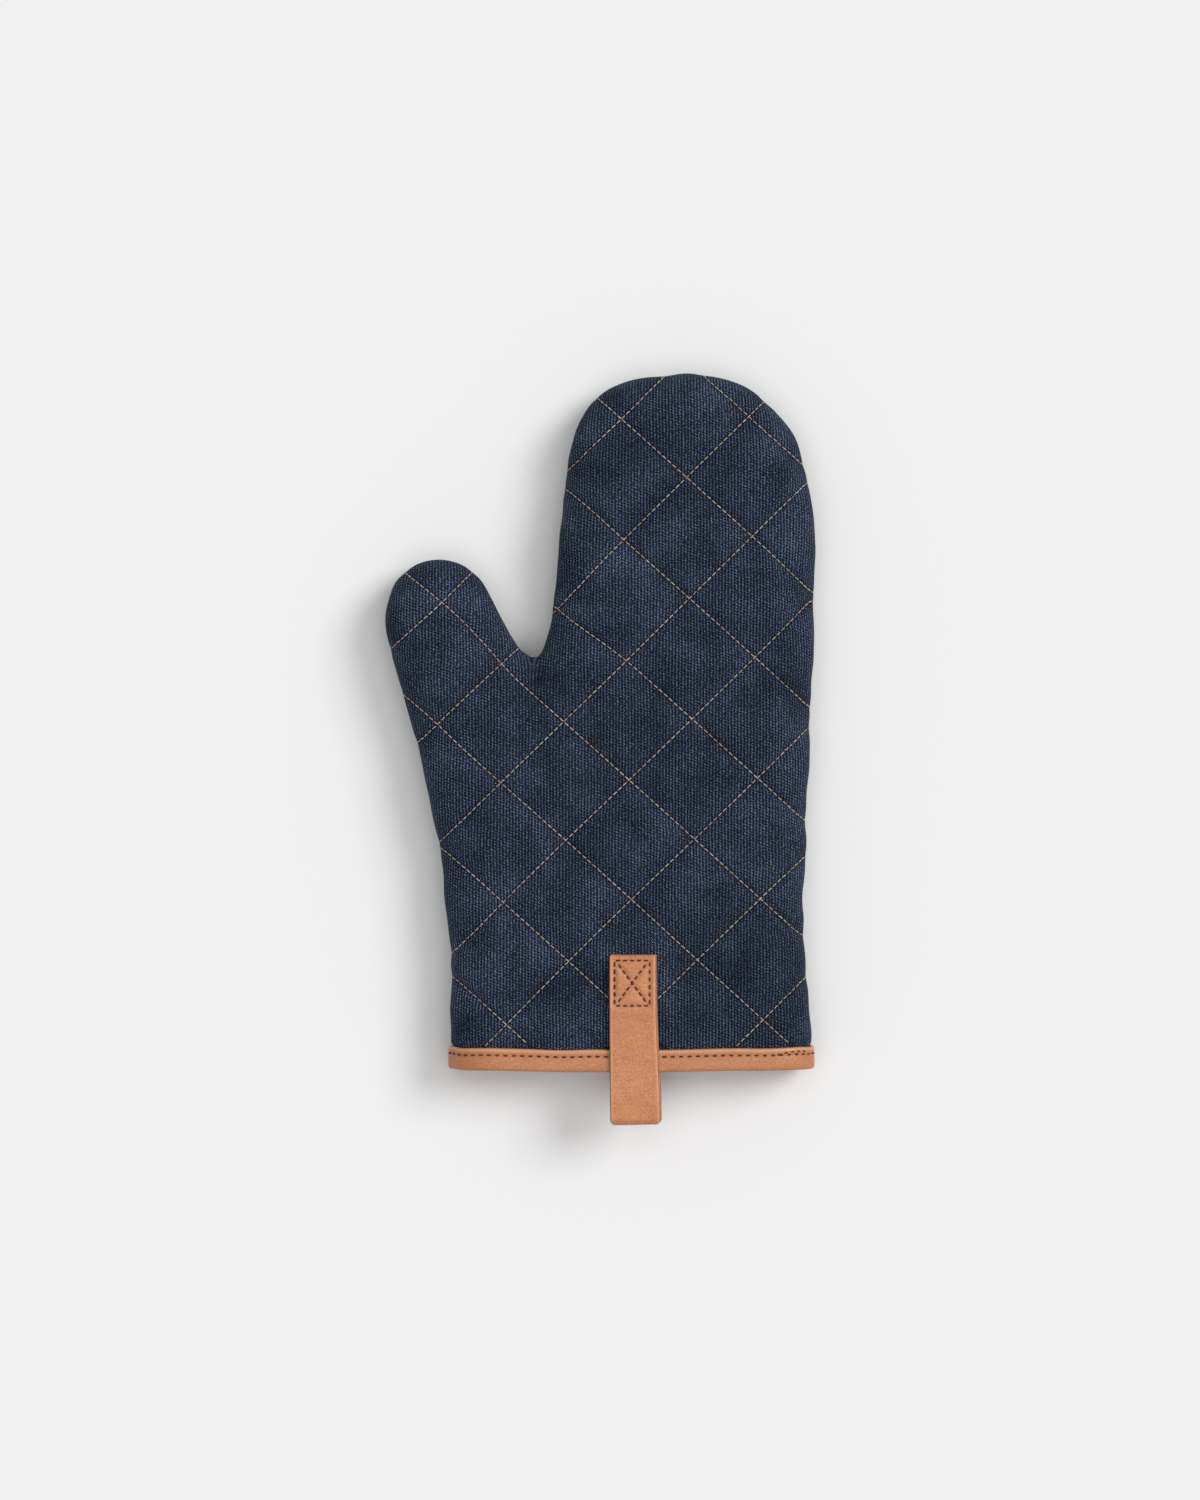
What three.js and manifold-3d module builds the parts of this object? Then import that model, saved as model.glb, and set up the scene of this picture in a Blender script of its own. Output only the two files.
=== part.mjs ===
// A quilted oven mitt with a leather-bound cuff and a leather hanging loop.
//
// The mitt lies flat on its back panel. +Z is up, +Y runs from the cuff to the fingertips and the
// thumb is on the -X side. The origin is under the middle of the mitt, on the surface it lies on.
// Millimetres throughout.
import * as THREE from 'three';
import { mergeVertices } from 'three/addons/utils/BufferGeometryUtils.js';
import Module from 'manifold-3d';

const wasm = await Module();
wasm.setup();

// ---------------------------------------------------------------------------------------------
// Driving dimensions
// ---------------------------------------------------------------------------------------------

// Overall sizes of the cloth body, and the sizes that the paper pattern below is drawn at.
const MITT_WIDTH = 185;
const MITT_LENGTH = 300;
const MITT_HEIGHT = 32;
const PATTERN_WIDTH = 185;
const PATTERN_LENGTH = 300;

// How the padded edge rounds over on the pattern, seen from above, and the straight band at the seam.
const PATTERN_EDGE_ROUNDING = 14;
const SEAM_BAND = 2;
const EDGE_STEPS = 2;

// The sandwich, from the outside in.
const SHELL_THICKNESS = 1.2;
const BATTING_THICKNESS = 3.2;
const LINING_THICKNESS = 0.5;

// Clearances: between touching pieces, and between the parts on each side of a fold.
const GAP = 0.3;
const FOLD_GAP = 0.4;

// Leather binding round the mouth.
const BINDING_WIDTH = 9.4;
const BINDING_THICKNESS = 1.3;
const BINDING_STITCH_FROM_TOP = 3.1;

// Thread, and how deep the seam thread lies inside the edge.
const THREAD_WIDTH = 1.0;
const THREAD_THICKNESS = 0.4;
const SEAM_THREAD_DEPTH = 2.2;

// Diamond quilting, turned slightly on the pattern.
const DIAMOND_WIDTH = 55.2;
const DIAMOND_LENGTH = 52;
const QUILTING_TURN = THREE.MathUtils.degToRad(1.3);
const QUILTING_CENTRE = new THREE.Vector2(12.6, -13.4);
const QUILTING_LINES_EACH_SIDE = 5;
const QUILTING_SEAM_MARGIN = 2.5;

// Where the mitt bends: across the knuckles, and beside the quilting line at the thumb's root.
const KNUCKLES_FROM_TIP = 102.5;
const THUMB_QUILTING_LINE = 2;
const CROTCH_X = -28;

// Leather hanging loop: one strap folded in half, its two ends sewn to the front panel.
const STRAP_WIDTH = 21;
const STRAP_THICKNESS = 1.6;
const STRAP_LEFT_X = 4;
const STRAP_ABOVE_CUFF = 48.5;
const SEWN_LENGTH = 22.5;
const LOOP_OVERHANG = 25;
const LOOP_OPENING = 7;
const LOOP_FOLD_STEPS = 6;
const BOX_STITCH_WIDTH = 15.4;
const BOX_STITCH_LENGTH = 18.7;
const BOX_STITCH_FROM_TOP = 2.7;

// ---------------------------------------------------------------------------------------------
// Places worked out from the driving dimensions
// ---------------------------------------------------------------------------------------------

const WIDTH_GRADE = MITT_WIDTH / PATTERN_WIDTH;
const LENGTH_GRADE = MITT_LENGTH / PATTERN_LENGTH;
const EDGE_ROUNDING = PATTERN_EDGE_ROUNDING * Math.min(WIDTH_GRADE, LENGTH_GRADE, 1);
const HALF_HEIGHT = MITT_HEIGHT / 2;
const OVERALL_LENGTH = MITT_LENGTH + LOOP_OVERHANG;
const FINGERTIP_Y = OVERALL_LENGTH / 2;
const MOUTH_Y = FINGERTIP_Y - MITT_LENGTH;
const BINDING_TOP_Y = MOUTH_Y + BINDING_WIDTH;
const BINDING_STITCH_Y = BINDING_TOP_Y - BINDING_STITCH_FROM_TOP;
const CLOTH_END_Y = MOUTH_Y + BINDING_THICKNESS + GAP;
const KNUCKLE_Y = FINGERTIP_Y - KNUCKLES_FROM_TIP;

const BATTING_INSET = SHELL_THICKNESS + GAP;
const LINING_INSET = BATTING_INSET + BATTING_THICKNESS + GAP;
const HAND_INSET = LINING_INSET + LINING_THICKNESS;
const GROOVE_DEPTH = THREAD_THICKNESS + GAP;
const BINDING_ROOM = BINDING_THICKNESS + GAP;

const STRAP_CENTRE_X = STRAP_LEFT_X + STRAP_WIDTH / 2;
const LOWER_RUN_Z = MITT_HEIGHT + GAP;
const UPPER_RUN_Z = LOWER_RUN_Z + STRAP_THICKNESS + GAP;
const TAB_TOP_Z = UPPER_RUN_Z + STRAP_THICKNESS;
const TAB_TOP_Y = MOUTH_Y + STRAP_ABOVE_CUFF;
const TAB_END_Y = TAB_TOP_Y - SEWN_LENGTH;
const LOOP_START_Y = TAB_END_Y - FOLD_GAP;
const LOOP_END_Y = MOUTH_Y - LOOP_OVERHANG;

// Larger than the object, for cutting blocks that reach past it on every side.
const FAR = 400;
const SIMPLIFY_TOLERANCE = 0.01;

// ---------------------------------------------------------------------------------------------
// Solids: three.js geometry in and out of manifold's join and cut
// ---------------------------------------------------------------------------------------------

function solidOf(geometry) {
  geometry.deleteAttribute('normal');
  geometry.deleteAttribute('uv');
  const merged = mergeVertices(geometry, 1e-4);
  const vertProperties = new Float32Array(merged.getAttribute('position').array);
  const triVerts = new Uint32Array(merged.getIndex().array);
  return new wasm.Manifold(new wasm.Mesh({ numProp: 3, vertProperties, triVerts }));
}

// Cuts leave needless vertices on flat faces, so those are merged away first.
function geometryOf(solid) {
  const mesh = solid.asOriginal().simplify(SIMPLIFY_TOLERANCE).getMesh();
  const geometry = new THREE.BufferGeometry();
  geometry.setAttribute('position', new THREE.BufferAttribute(mesh.vertProperties, mesh.numProp));
  geometry.setIndex(new THREE.BufferAttribute(mesh.triVerts, 1));
  geometry.computeVertexNormals();
  return geometry;
}

// A block between two corners.
function block(low, high) {
  const size = new THREE.Vector3().subVectors(high, low);
  const geometry = new THREE.BoxGeometry(size.x, size.y, size.z);
  const centre = new THREE.Vector3().addVectors(low, high).multiplyScalar(0.5);
  geometry.translate(centre.x, centre.y, centre.z);
  return solidOf(geometry);
}

// Everything between two heights along Y.
function slab(lowY, highY) {
  return block(new THREE.Vector3(-FAR, lowY, -FAR), new THREE.Vector3(FAR, highY, FAR));
}

// Everything between two heights along Z.
function layer(lowZ, highZ) {
  return block(new THREE.Vector3(-FAR, -FAR, lowZ), new THREE.Vector3(FAR, FAR, highZ));
}

// ---------------------------------------------------------------------------------------------
// The paper pattern
// ---------------------------------------------------------------------------------------------

// Seam line points of the pattern at its own size, clockwise from the left of the mouth, as
// distances from the fingertips' line: across from the middle, and down from the tips.
const PATTERN = [
  [-66, 330], [-64, 264], [-69.5, 202], [-79, 160], [-88, 128.5], [-92.4, 106], [-89, 92],
  [-79, 82.5], [-68.5, 80.6], [-56.5, 85], [-47, 97.5], [-37, 115], [-28, 122], [-23, 113],
  [-19.6, 97], [-16, 61], [-12.8, 34], [-6, 16], [6, 6], [24, 1], [48, 0.8], [67, 8.8],
  [81.5, 23], [89.5, 45], [92.4, 68], [91.6, 130], [89, 190], [87.6, 236], [90, 272], [94, 330],
];

function seamLine() {
  return PATTERN.map(([across, down]) => (
    new THREE.Vector3(across * WIDTH_GRADE, FINGERTIP_Y - down * LENGTH_GRADE, 0)
  ));
}

function seamOutline() {
  const points = seamLine();
  const curve = new THREE.CatmullRomCurve3(points, false, 'centripetal');
  const samples = curve.getPoints((points.length - 1) * 2);
  return new THREE.Shape(samples.map((point) => new THREE.Vector2(point.x, point.y)));
}

// The mitt's closed outer form, pulled in evenly by an inset. It runs past the mouth.
function pillow(inset) {
  const geometry = new THREE.ExtrudeGeometry(seamOutline(), {
    depth: SEAM_BAND,
    bevelEnabled: true,
    bevelThickness: HALF_HEIGHT - SEAM_BAND / 2 - inset,
    bevelSize: EDGE_ROUNDING - inset,
    bevelOffset: -EDGE_ROUNDING,
    bevelSegments: EDGE_STEPS,
    curveSegments: 1,
    steps: 1,
  });
  geometry.translate(0, 0, HALF_HEIGHT - SEAM_BAND / 2);
  return solidOf(geometry);
}

// The form at one inset above the binding, and pulled in to make room for it beside the binding.
function pillowUnderBinding(inset, stepY) {
  const body = pillow(inset).intersect(slab(stepY, FAR));
  const cuff = pillow(inset + BINDING_ROOM).intersect(slab(CLOTH_END_Y, stepY + 1));
  return body.add(cuff);
}

// ---------------------------------------------------------------------------------------------
// The layers of the sandwich, both panels still in one
// ---------------------------------------------------------------------------------------------

const cloth = slab(CLOTH_END_Y, FAR);
const shellStepY = BINDING_TOP_Y + GAP;
const battingStepY = shellStepY + SHELL_THICKNESS + GAP;

const outerForm = pillow(0);
const shellLayer = pillowUnderBinding(0, shellStepY)
  .subtract(pillowUnderBinding(SHELL_THICKNESS, shellStepY + SHELL_THICKNESS))
  .subtract(pillow(SHELL_THICKNESS + BINDING_ROOM));
const battingLayer = pillowUnderBinding(BATTING_INSET, battingStepY).subtract(pillow(LINING_INSET - GAP));
const liningLayer = pillow(LINING_INSET).subtract(pillow(HAND_INSET)).intersect(cloth);

// ---------------------------------------------------------------------------------------------
// Quilting
// ---------------------------------------------------------------------------------------------

// The corner-to-corner vectors of one diamond's sides, on the turned pattern.
const risingSide = new THREE.Vector2(DIAMOND_WIDTH / 2, DIAMOND_LENGTH / 2);
const fallingSide = new THREE.Vector2(DIAMOND_WIDTH / 2, -DIAMOND_LENGTH / 2);
risingSide.rotateAround(new THREE.Vector2(), QUILTING_TURN);
fallingSide.rotateAround(new THREE.Vector2(), QUILTING_TURN);

// One straight wall along a quilting line: a tall box turned to the line's direction.
function quiltingWall(along, through, width) {
  const geometry = new THREE.BoxGeometry(FAR * 2, width, FAR);
  geometry.rotateZ(Math.atan2(along.y, along.x));
  geometry.translate(through.x, through.y, 0);
  return solidOf(geometry);
}

function quiltingWalls(width) {
  let walls = null;
  for (let line = -QUILTING_LINES_EACH_SIDE; line <= QUILTING_LINES_EACH_SIDE; line += 1) {
    const onRising = QUILTING_CENTRE.clone().addScaledVector(fallingSide, line);
    const onFalling = QUILTING_CENTRE.clone().addScaledVector(risingSide, line);
    const pair = quiltingWall(risingSide, onRising, width).add(quiltingWall(fallingSide, onFalling, width));
    walls = walls ? walls.add(pair) : pair;
  }
  const seamMargin = layer(HALF_HEIGHT - QUILTING_SEAM_MARGIN, HALF_HEIGHT + QUILTING_SEAM_MARGIN);
  return walls.subtract(seamMargin).intersect(slab(shellStepY + GAP, FAR));
}

const quiltingThread = quiltingWalls(THREAD_WIDTH)
  .intersect(outerForm.subtract(pillow(THREAD_THICKNESS)));
const quiltingGroove = quiltingWalls(THREAD_WIDTH + 2 * GAP).subtract(pillow(GROOVE_DEPTH));
const groovedShell = shellLayer.subtract(quiltingGroove);

// ---------------------------------------------------------------------------------------------
// Panels and bending zones
// ---------------------------------------------------------------------------------------------

const FRONT = layer(HALF_HEIGHT + GAP + THREAD_THICKNESS / 2, FAR);
const BACK = layer(-FAR, HALF_HEIGHT - GAP - THREAD_THICKNESS / 2);

// The thumb's root: a line parallel to the quilting, just clear of the thread that lies on it.
const thumbLineOffset = THREAD_WIDTH / 2 + GAP + FOLD_GAP;
const thumbOutward = new THREE.Vector2(-risingSide.y, risingSide.x).normalize();
const thumbHinge = QUILTING_CENTRE.clone()
  .addScaledVector(fallingSide, -THUMB_QUILTING_LINE)
  .addScaledVector(thumbOutward, thumbLineOffset);

function thumbZone(margin) {
  const geometry = new THREE.BoxGeometry(FAR * 2, FAR, FAR);
  geometry.translate(0, FAR / 2 + margin, 0);
  geometry.rotateZ(Math.atan2(risingSide.y, risingSide.x));
  geometry.translate(thumbHinge.x, thumbHinge.y, 0);
  const leftOfCrotch = block(new THREE.Vector3(-FAR, -FAR, -FAR), new THREE.Vector3(CROTCH_X, FAR, FAR));
  return solidOf(geometry).intersect(leftOfCrotch);
}

function fingersZone(margin) {
  return block(new THREE.Vector3(CROTCH_X, KNUCKLE_Y + margin, -FAR), new THREE.Vector3(FAR, FAR, FAR));
}

const ZONES = {
  palm: (solid) => solid.subtract(thumbZone(-FOLD_GAP / 2)).subtract(fingersZone(-FOLD_GAP / 2)),
  fingers: (solid) => solid.intersect(fingersZone(FOLD_GAP / 2)),
  thumb: (solid) => solid.intersect(thumbZone(FOLD_GAP / 2)),
};

// ---------------------------------------------------------------------------------------------
// Finished pieces
// ---------------------------------------------------------------------------------------------

const MATERIALS = {
  denim: new THREE.MeshStandardMaterial({ color: 0x2b3242, roughness: 0.9, metalness: 0 }),
  batting: new THREE.MeshStandardMaterial({ color: 0xe6e1d6, roughness: 1, metalness: 0 }),
  lining: new THREE.MeshStandardMaterial({ color: 0x3a4150, roughness: 0.9, metalness: 0 }),
  leather: new THREE.MeshStandardMaterial({ color: 0xc4855f, roughness: 0.6, metalness: 0 }),
  quiltingThread: new THREE.MeshStandardMaterial({ color: 0xc9a58e, roughness: 0.7, metalness: 0 }),
  leatherThread: new THREE.MeshStandardMaterial({ color: 0x4a2c20, roughness: 0.6, metalness: 0 }),
};

const mitt = new THREE.Group();
mitt.name = 'oven_mitt';

function addPiece(name, solid, material) {
  const mesh = new THREE.Mesh(geometryOf(solid), material);
  mesh.name = name;
  mitt.add(mesh);
}

// The separate bodies of a solid, largest first.
function bodiesOf(solid) {
  return solid.decompose().sort((a, b) => b.volume() - a.volume());
}

// A quilting net as one piece: stray ends that no other line crosses are left out.
function addNet(name, solid) {
  const cleaned = solid.asOriginal().simplify(SIMPLIFY_TOLERANCE);
  addPiece(name, bodiesOf(cleaned)[0], MATERIALS.quiltingThread);
}

function addPanelPieces(panelName, panel) {
  for (const [zoneName, cut] of Object.entries(ZONES)) {
    const name = `${panelName}_${zoneName}`;
    addPiece(`${name}_shell`, cut(groovedShell.intersect(panel)), MATERIALS.denim);
    addPiece(`${name}_batting`, cut(battingLayer.intersect(panel)), MATERIALS.batting);
    addPiece(`${name}_lining`, cut(liningLayer.intersect(panel)), MATERIALS.lining);
    addNet(`${name}_quilting_thread`, cut(quiltingThread.intersect(panel)));
  }
}

// The thread that joins the two panels, between them along the whole seam line.
function addSeamThread() {
  const band = pillow(SEAM_THREAD_DEPTH).subtract(pillow(SEAM_THREAD_DEPTH + THREAD_WIDTH));
  const thickness = layer(HALF_HEIGHT - THREAD_THICKNESS / 2, HALF_HEIGHT + THREAD_THICKNESS / 2);
  const thread = band.intersect(thickness).intersect(slab(shellStepY, FAR));
  addPiece('seam_thread_fingers', ZONES.fingers(thread), MATERIALS.quiltingThread);
  addPiece('seam_thread_thumb', ZONES.thumb(thread), MATERIALS.quiltingThread);
  const middleX = (run) => (run.boundingBox().min[0] + run.boundingBox().max[0]) / 2;
  const runs = bodiesOf(ZONES.palm(thread)).sort((a, b) => middleX(a) - middleX(b));
  const names = ['seam_thread_thumb_side', 'seam_thread_crotch', 'seam_thread_little_finger_side'];
  runs.forEach((run, index) => addPiece(names[index], run, MATERIALS.quiltingThread));
}

// The binding is a leather strip folded over the mouth's edge, outside and inside.
function addBinding() {
  const outside = outerForm.intersect(slab(MOUTH_Y, BINDING_TOP_Y));
  const mouth = pillow(HAND_INSET + GAP + BINDING_THICKNESS);
  const clearOfCloth = pillow(BINDING_THICKNESS)
    .subtract(pillow(HAND_INSET + GAP))
    .intersect(slab(MOUTH_Y + BINDING_THICKNESS, FAR));
  const groove = slab(
    BINDING_STITCH_Y - THREAD_WIDTH / 2 - GAP,
    BINDING_STITCH_Y + THREAD_WIDTH / 2 + GAP,
  ).subtract(pillow(GROOVE_DEPTH));
  const binding = outside.subtract(clearOfCloth).subtract(mouth).subtract(groove);
  addPiece('cuff_binding', binding, MATERIALS.leather);
  const stitch = outerForm.subtract(pillow(THREAD_THICKNESS))
    .intersect(slab(BINDING_STITCH_Y - THREAD_WIDTH / 2, BINDING_STITCH_Y + THREAD_WIDTH / 2));
  addPiece('binding_stitching', stitch, MATERIALS.leatherThread);
}

// A flat strap of constant thickness that follows a side-view route of [y, z] centres.
function strapAlong(route) {
  const sides = [1, -1].map((side) => route.map(([y, z], index) => {
    const [beforeY, beforeZ] = route[Math.max(index - 1, 0)];
    const [afterY, afterZ] = route[Math.min(index + 1, route.length - 1)];
    const run = new THREE.Vector2(afterY - beforeY, afterZ - beforeZ).normalize();
    const reach = side * STRAP_THICKNESS / 2;
    return new THREE.Vector2(y - run.y * reach, z + run.x * reach);
  }));
  const shape = new THREE.Shape([...sides[0], ...sides[1].reverse()]);
  const geometry = new THREE.ExtrudeGeometry(shape, { depth: STRAP_WIDTH, bevelEnabled: false });
  // The side view's own axes become Y and Z, and the extrusion runs along X.
  geometry.rotateX(Math.PI / 2);
  geometry.rotateZ(Math.PI / 2);
  geometry.translate(STRAP_LEFT_X, 0, 0);
  return solidOf(geometry);
}

function addSewnTab() {
  const runs = { loop_tab_upper: UPPER_RUN_Z, loop_tab_lower: LOWER_RUN_Z };
  for (const [name, underside] of Object.entries(runs)) {
    const low = new THREE.Vector3(STRAP_LEFT_X, TAB_END_Y, underside);
    const high = new THREE.Vector3(STRAP_LEFT_X + STRAP_WIDTH, TAB_TOP_Y, underside + STRAP_THICKNESS);
    addPiece(name, block(low, high), MATERIALS.leather);
  }
}

// The free part of the strap: out over the cuff, round a soft fold, and back in a run that bulges
// away from the upper one so that a hook can pass through.
function addHangingLoop() {
  const upper = UPPER_RUN_Z + STRAP_THICKNESS / 2;
  const lower = LOWER_RUN_Z + STRAP_THICKNESS / 2;
  const foldRadius = (LOOP_OPENING + STRAP_THICKNESS) / 2;
  const foldCentreY = LOOP_END_Y + STRAP_THICKNESS / 2 + foldRadius;
  const foldCentreZ = upper - foldRadius;
  const bulged = foldCentreZ - foldRadius;
  const bulgeStartY = MOUTH_Y - STRAP_THICKNESS;
  const route = [[LOOP_START_Y, upper]];
  for (let step = 0; step <= LOOP_FOLD_STEPS; step += 1) {
    const turn = Math.PI * (step / LOOP_FOLD_STEPS);
    route.push([foldCentreY - foldRadius * Math.sin(turn), foldCentreZ + foldRadius * Math.cos(turn)]);
  }
  for (let step = 1; step <= LOOP_FOLD_STEPS; step += 1) {
    const share = step / LOOP_FOLD_STEPS;
    const eased = THREE.MathUtils.smoothstep(share, 0, 1);
    route.push([
      THREE.MathUtils.lerp(foldCentreY, bulgeStartY, share),
      THREE.MathUtils.lerp(bulged, lower, eased),
    ]);
  }
  route.push([LOOP_START_Y, lower]);
  addPiece('hanging_loop', strapAlong(route), MATERIALS.leather);
}

// A rectangle of stitches with both diagonals, sewn through both runs of the tab.
function addBoxStitch() {
  const centreY = TAB_TOP_Y - BOX_STITCH_FROM_TOP - BOX_STITCH_LENGTH / 2;
  const base = TAB_TOP_Z + GAP;
  const bar = (length, angle, x, y) => {
    const geometry = new THREE.BoxGeometry(length, THREAD_WIDTH, THREAD_THICKNESS);
    geometry.rotateZ(angle);
    geometry.translate(STRAP_CENTRE_X + x, centreY + y, base + THREAD_THICKNESS / 2);
    return solidOf(geometry);
  };
  const diagonal = Math.hypot(BOX_STITCH_WIDTH, BOX_STITCH_LENGTH);
  const slope = Math.atan2(BOX_STITCH_LENGTH, BOX_STITCH_WIDTH);
  const bars = [
    bar(BOX_STITCH_WIDTH + THREAD_WIDTH, 0, 0, BOX_STITCH_LENGTH / 2),
    bar(BOX_STITCH_WIDTH + THREAD_WIDTH, 0, 0, -BOX_STITCH_LENGTH / 2),
    bar(BOX_STITCH_LENGTH, Math.PI / 2, BOX_STITCH_WIDTH / 2, 0),
    bar(BOX_STITCH_LENGTH, Math.PI / 2, -BOX_STITCH_WIDTH / 2, 0),
    bar(diagonal, slope, 0, 0),
    bar(diagonal, -slope, 0, 0),
  ];
  addPiece('loop_box_stitching', bars.reduce((whole, next) => whole.add(next)), MATERIALS.leatherThread);
}

addPanelPieces('front', FRONT);
addPanelPieces('back', BACK);
addSeamThread();
addBinding();
addSewnTab();
addHangingLoop();
addBoxStitch();

export default mitt;
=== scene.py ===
"""Looks of a quilted oven mitt: indigo canvas, tan leather binding and hanging loop.

Lengths in this script are millimetres until a mesh is made. The mitt lies on its back panel,
fingertips towards +Y and thumb towards -X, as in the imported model.
"""
import math
from collections import namedtuple

import bpy
import numpy as np
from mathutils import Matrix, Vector, geometry
from mathutils.bvhtree import BVHTree


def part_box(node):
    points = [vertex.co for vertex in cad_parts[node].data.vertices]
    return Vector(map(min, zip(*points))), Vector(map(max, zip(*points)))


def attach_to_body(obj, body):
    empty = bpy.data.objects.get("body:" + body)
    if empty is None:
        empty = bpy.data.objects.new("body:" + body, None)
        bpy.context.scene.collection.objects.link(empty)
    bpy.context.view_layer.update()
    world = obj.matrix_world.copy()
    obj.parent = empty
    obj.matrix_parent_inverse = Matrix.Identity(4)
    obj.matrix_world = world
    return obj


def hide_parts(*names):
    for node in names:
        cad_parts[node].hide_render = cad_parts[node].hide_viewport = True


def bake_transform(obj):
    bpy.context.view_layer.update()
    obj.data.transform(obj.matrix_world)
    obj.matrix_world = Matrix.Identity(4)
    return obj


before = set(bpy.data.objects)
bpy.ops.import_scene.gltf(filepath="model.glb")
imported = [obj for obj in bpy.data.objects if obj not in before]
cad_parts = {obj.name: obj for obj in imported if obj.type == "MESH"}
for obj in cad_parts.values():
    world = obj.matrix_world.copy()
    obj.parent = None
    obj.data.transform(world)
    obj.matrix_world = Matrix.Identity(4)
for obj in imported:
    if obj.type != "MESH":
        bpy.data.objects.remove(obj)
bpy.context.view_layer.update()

MM = 0.001
RNG = np.random.default_rng(7)


def node_box(node):
    """A node's lowest and highest corner in millimetres."""
    low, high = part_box(node)
    return np.array(low) / MM, np.array(high) / MM


# ---- Sizes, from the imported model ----

PALM_LOW, PALM_HIGH = node_box("front_palm_shell")
TIP_HIGH = node_box("front_fingers_shell")[1]
BINDING_LOW, BINDING_HIGH = node_box("cuff_binding")
TAB_LOW, TAB_HIGH = node_box("loop_tab_upper")
LOWER_TAB_Z = node_box("loop_tab_lower")[0][2]
LOOP_LOW = node_box("hanging_loop")[0]
BOX_LOW, BOX_HIGH = node_box("loop_box_stitching")

MITT_TOP = PALM_HIGH[2]
TIP_Y = TIP_HIGH[1]
CLOTH_END_Y = PALM_LOW[1]
MOUTH_Y = BINDING_LOW[1]
BINDING_TOP_Y = BINDING_HIGH[1]

# The seam line of the paper pattern: across from the middle, and down from the fingertips.
PATTERN = [
    (-66, 330), (-64, 264), (-69.5, 202), (-79, 160), (-88, 128.5), (-92.4, 106), (-89, 92),
    (-79, 82.5), (-68.5, 80.6), (-56.5, 85), (-47, 97.5), (-37, 115), (-28, 122), (-23, 113),
    (-19.6, 97), (-16, 61), (-12.8, 34), (-6, 16), (6, 6), (24, 1), (48, 0.8), (67, 8.8),
    (81.5, 23), (89.5, 45), (92.4, 68), (91.6, 130), (89, 190), (87.6, 236), (90, 272), (94, 330),
]
CROTCH = np.array([-28.0, TIP_Y - 122])
PUCKER = CROTCH + (1.6, -7.6)

# How the padded body is shaped in side view.
SEAM_Z = 13.0
CROWN_Z = MITT_TOP - 1.6
FRONT_ROUNDING = 25.0
BACK_ROUNDING = 13.0
BACK_Z = 0.5
SEAM_TUCK = 1.6
EDGE_BULGE = 1.2
DOME_RISE = 1.1
CUFF_SQUEEZE = 1.5

# Distances of the edge strips from the seam, close together where the edge is steep.
STRIPS = (0, 0.06, 0.25, 0.6, 1.1, 1.9, 3.0, 4.6, 6.6, 9.0)
# Clearances of the mesh points in a panel's middle, sewn ones and the rest.
SEWN_APART = 0.8
SEWN_FROM_STRIPS = 0.7
SEWN_FROM_CUFF = 0.8
FILL_FROM_EDGES = 1.2

# Diamond quilting.
DIAMOND = np.array([55.2, 52.0])
QUILT_TURN = math.radians(1.3)
QUILT_CENTRE = np.array([12.6, -13.4])
QUILT_LINES = 6
LINE_REACH = 260
FRONT_PUFF = 0.85
BACK_SHARE = 0.5
STITCH_PITCH = 2.9
STITCH_DASH = 2.25
STITCH_SINK = -0.06
THREAD_RADIUS = 0.25
THUMB_LINE = 2

# The other stitching.
SEAM_PITCH = 2.7
SEAM_DASH = 1.9
SEAM_THREAD_RADIUS = 0.26
BINDING_PITCH = 3.6
BINDING_DASH = 2.0
BOX_PITCH = 3.1
BOX_DASH = 2.1
LEATHER_THREAD_RADIUS = 0.41

# The cloths of one panel, from the outside in. A layer stands for the solids called node. Its
# inset is its depth under the outer surface, and swelling its share of the cover's quilting.
Layer = namedtuple("Layer", "node piece slot spacing inset swelling thickness")
COVER = Layer("shell", "cover", "denim_shell", 2.4, 0.0, 1.0, 1.0)
WADDING = Layer("batting", "wadding", "batting", 6.0, 2.9, 0.6, 1.9)
LINING = Layer("lining", "lining", "lining_cloth", 4.0, 5.2, 0.2, 0.5)
PANEL_NAMES = {1: "front", -1: "back"}
ZONES = ("hand", "thumb")


# ---- Small helpers ----

def new_object(name, vertices, faces, material):
    """A mesh object from points in millimetres."""
    mesh = bpy.data.meshes.new(name)
    mesh.from_pydata([tuple(p) for p in np.asarray(vertices) * MM], [], [tuple(f) for f in faces])
    mesh.validate()
    mesh.update()
    mesh.shade_smooth()
    obj = link(name, mesh)
    mesh.materials.append(material)
    return obj


def store_vectors(obj, name, values):
    """Keep one vector per point, such as its place on the flat cloth."""
    attribute = obj.data.attributes.new(name, "FLOAT_VECTOR", "POINT")
    attribute.data.foreach_set("vector", np.asarray(values, np.float32).ravel())


def link(name, data):
    """A new object in the scene that shows a mesh, a lamp or a camera."""
    obj = bpy.data.objects.new(name, data)
    bpy.context.scene.collection.objects.link(obj)
    return obj


def smoothstep(low, high, value):
    """0 up to low, 1 from high on, and a smooth rise between them."""
    share = np.clip((value - low) / (high - low), 0, 1)
    return share * share * (3 - 2 * share)


def near(value, centre, width):
    """1 at the centre, falling off like a bell."""
    return np.exp(-((value - centre) / width) ** 2)


def rotated(point, angle):
    """A flat vector, or a pair of coordinate rows, turned to the left."""
    c, s = math.cos(angle), math.sin(angle)
    return np.array([c * point[0] - s * point[1], s * point[0] + c * point[1]])


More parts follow.
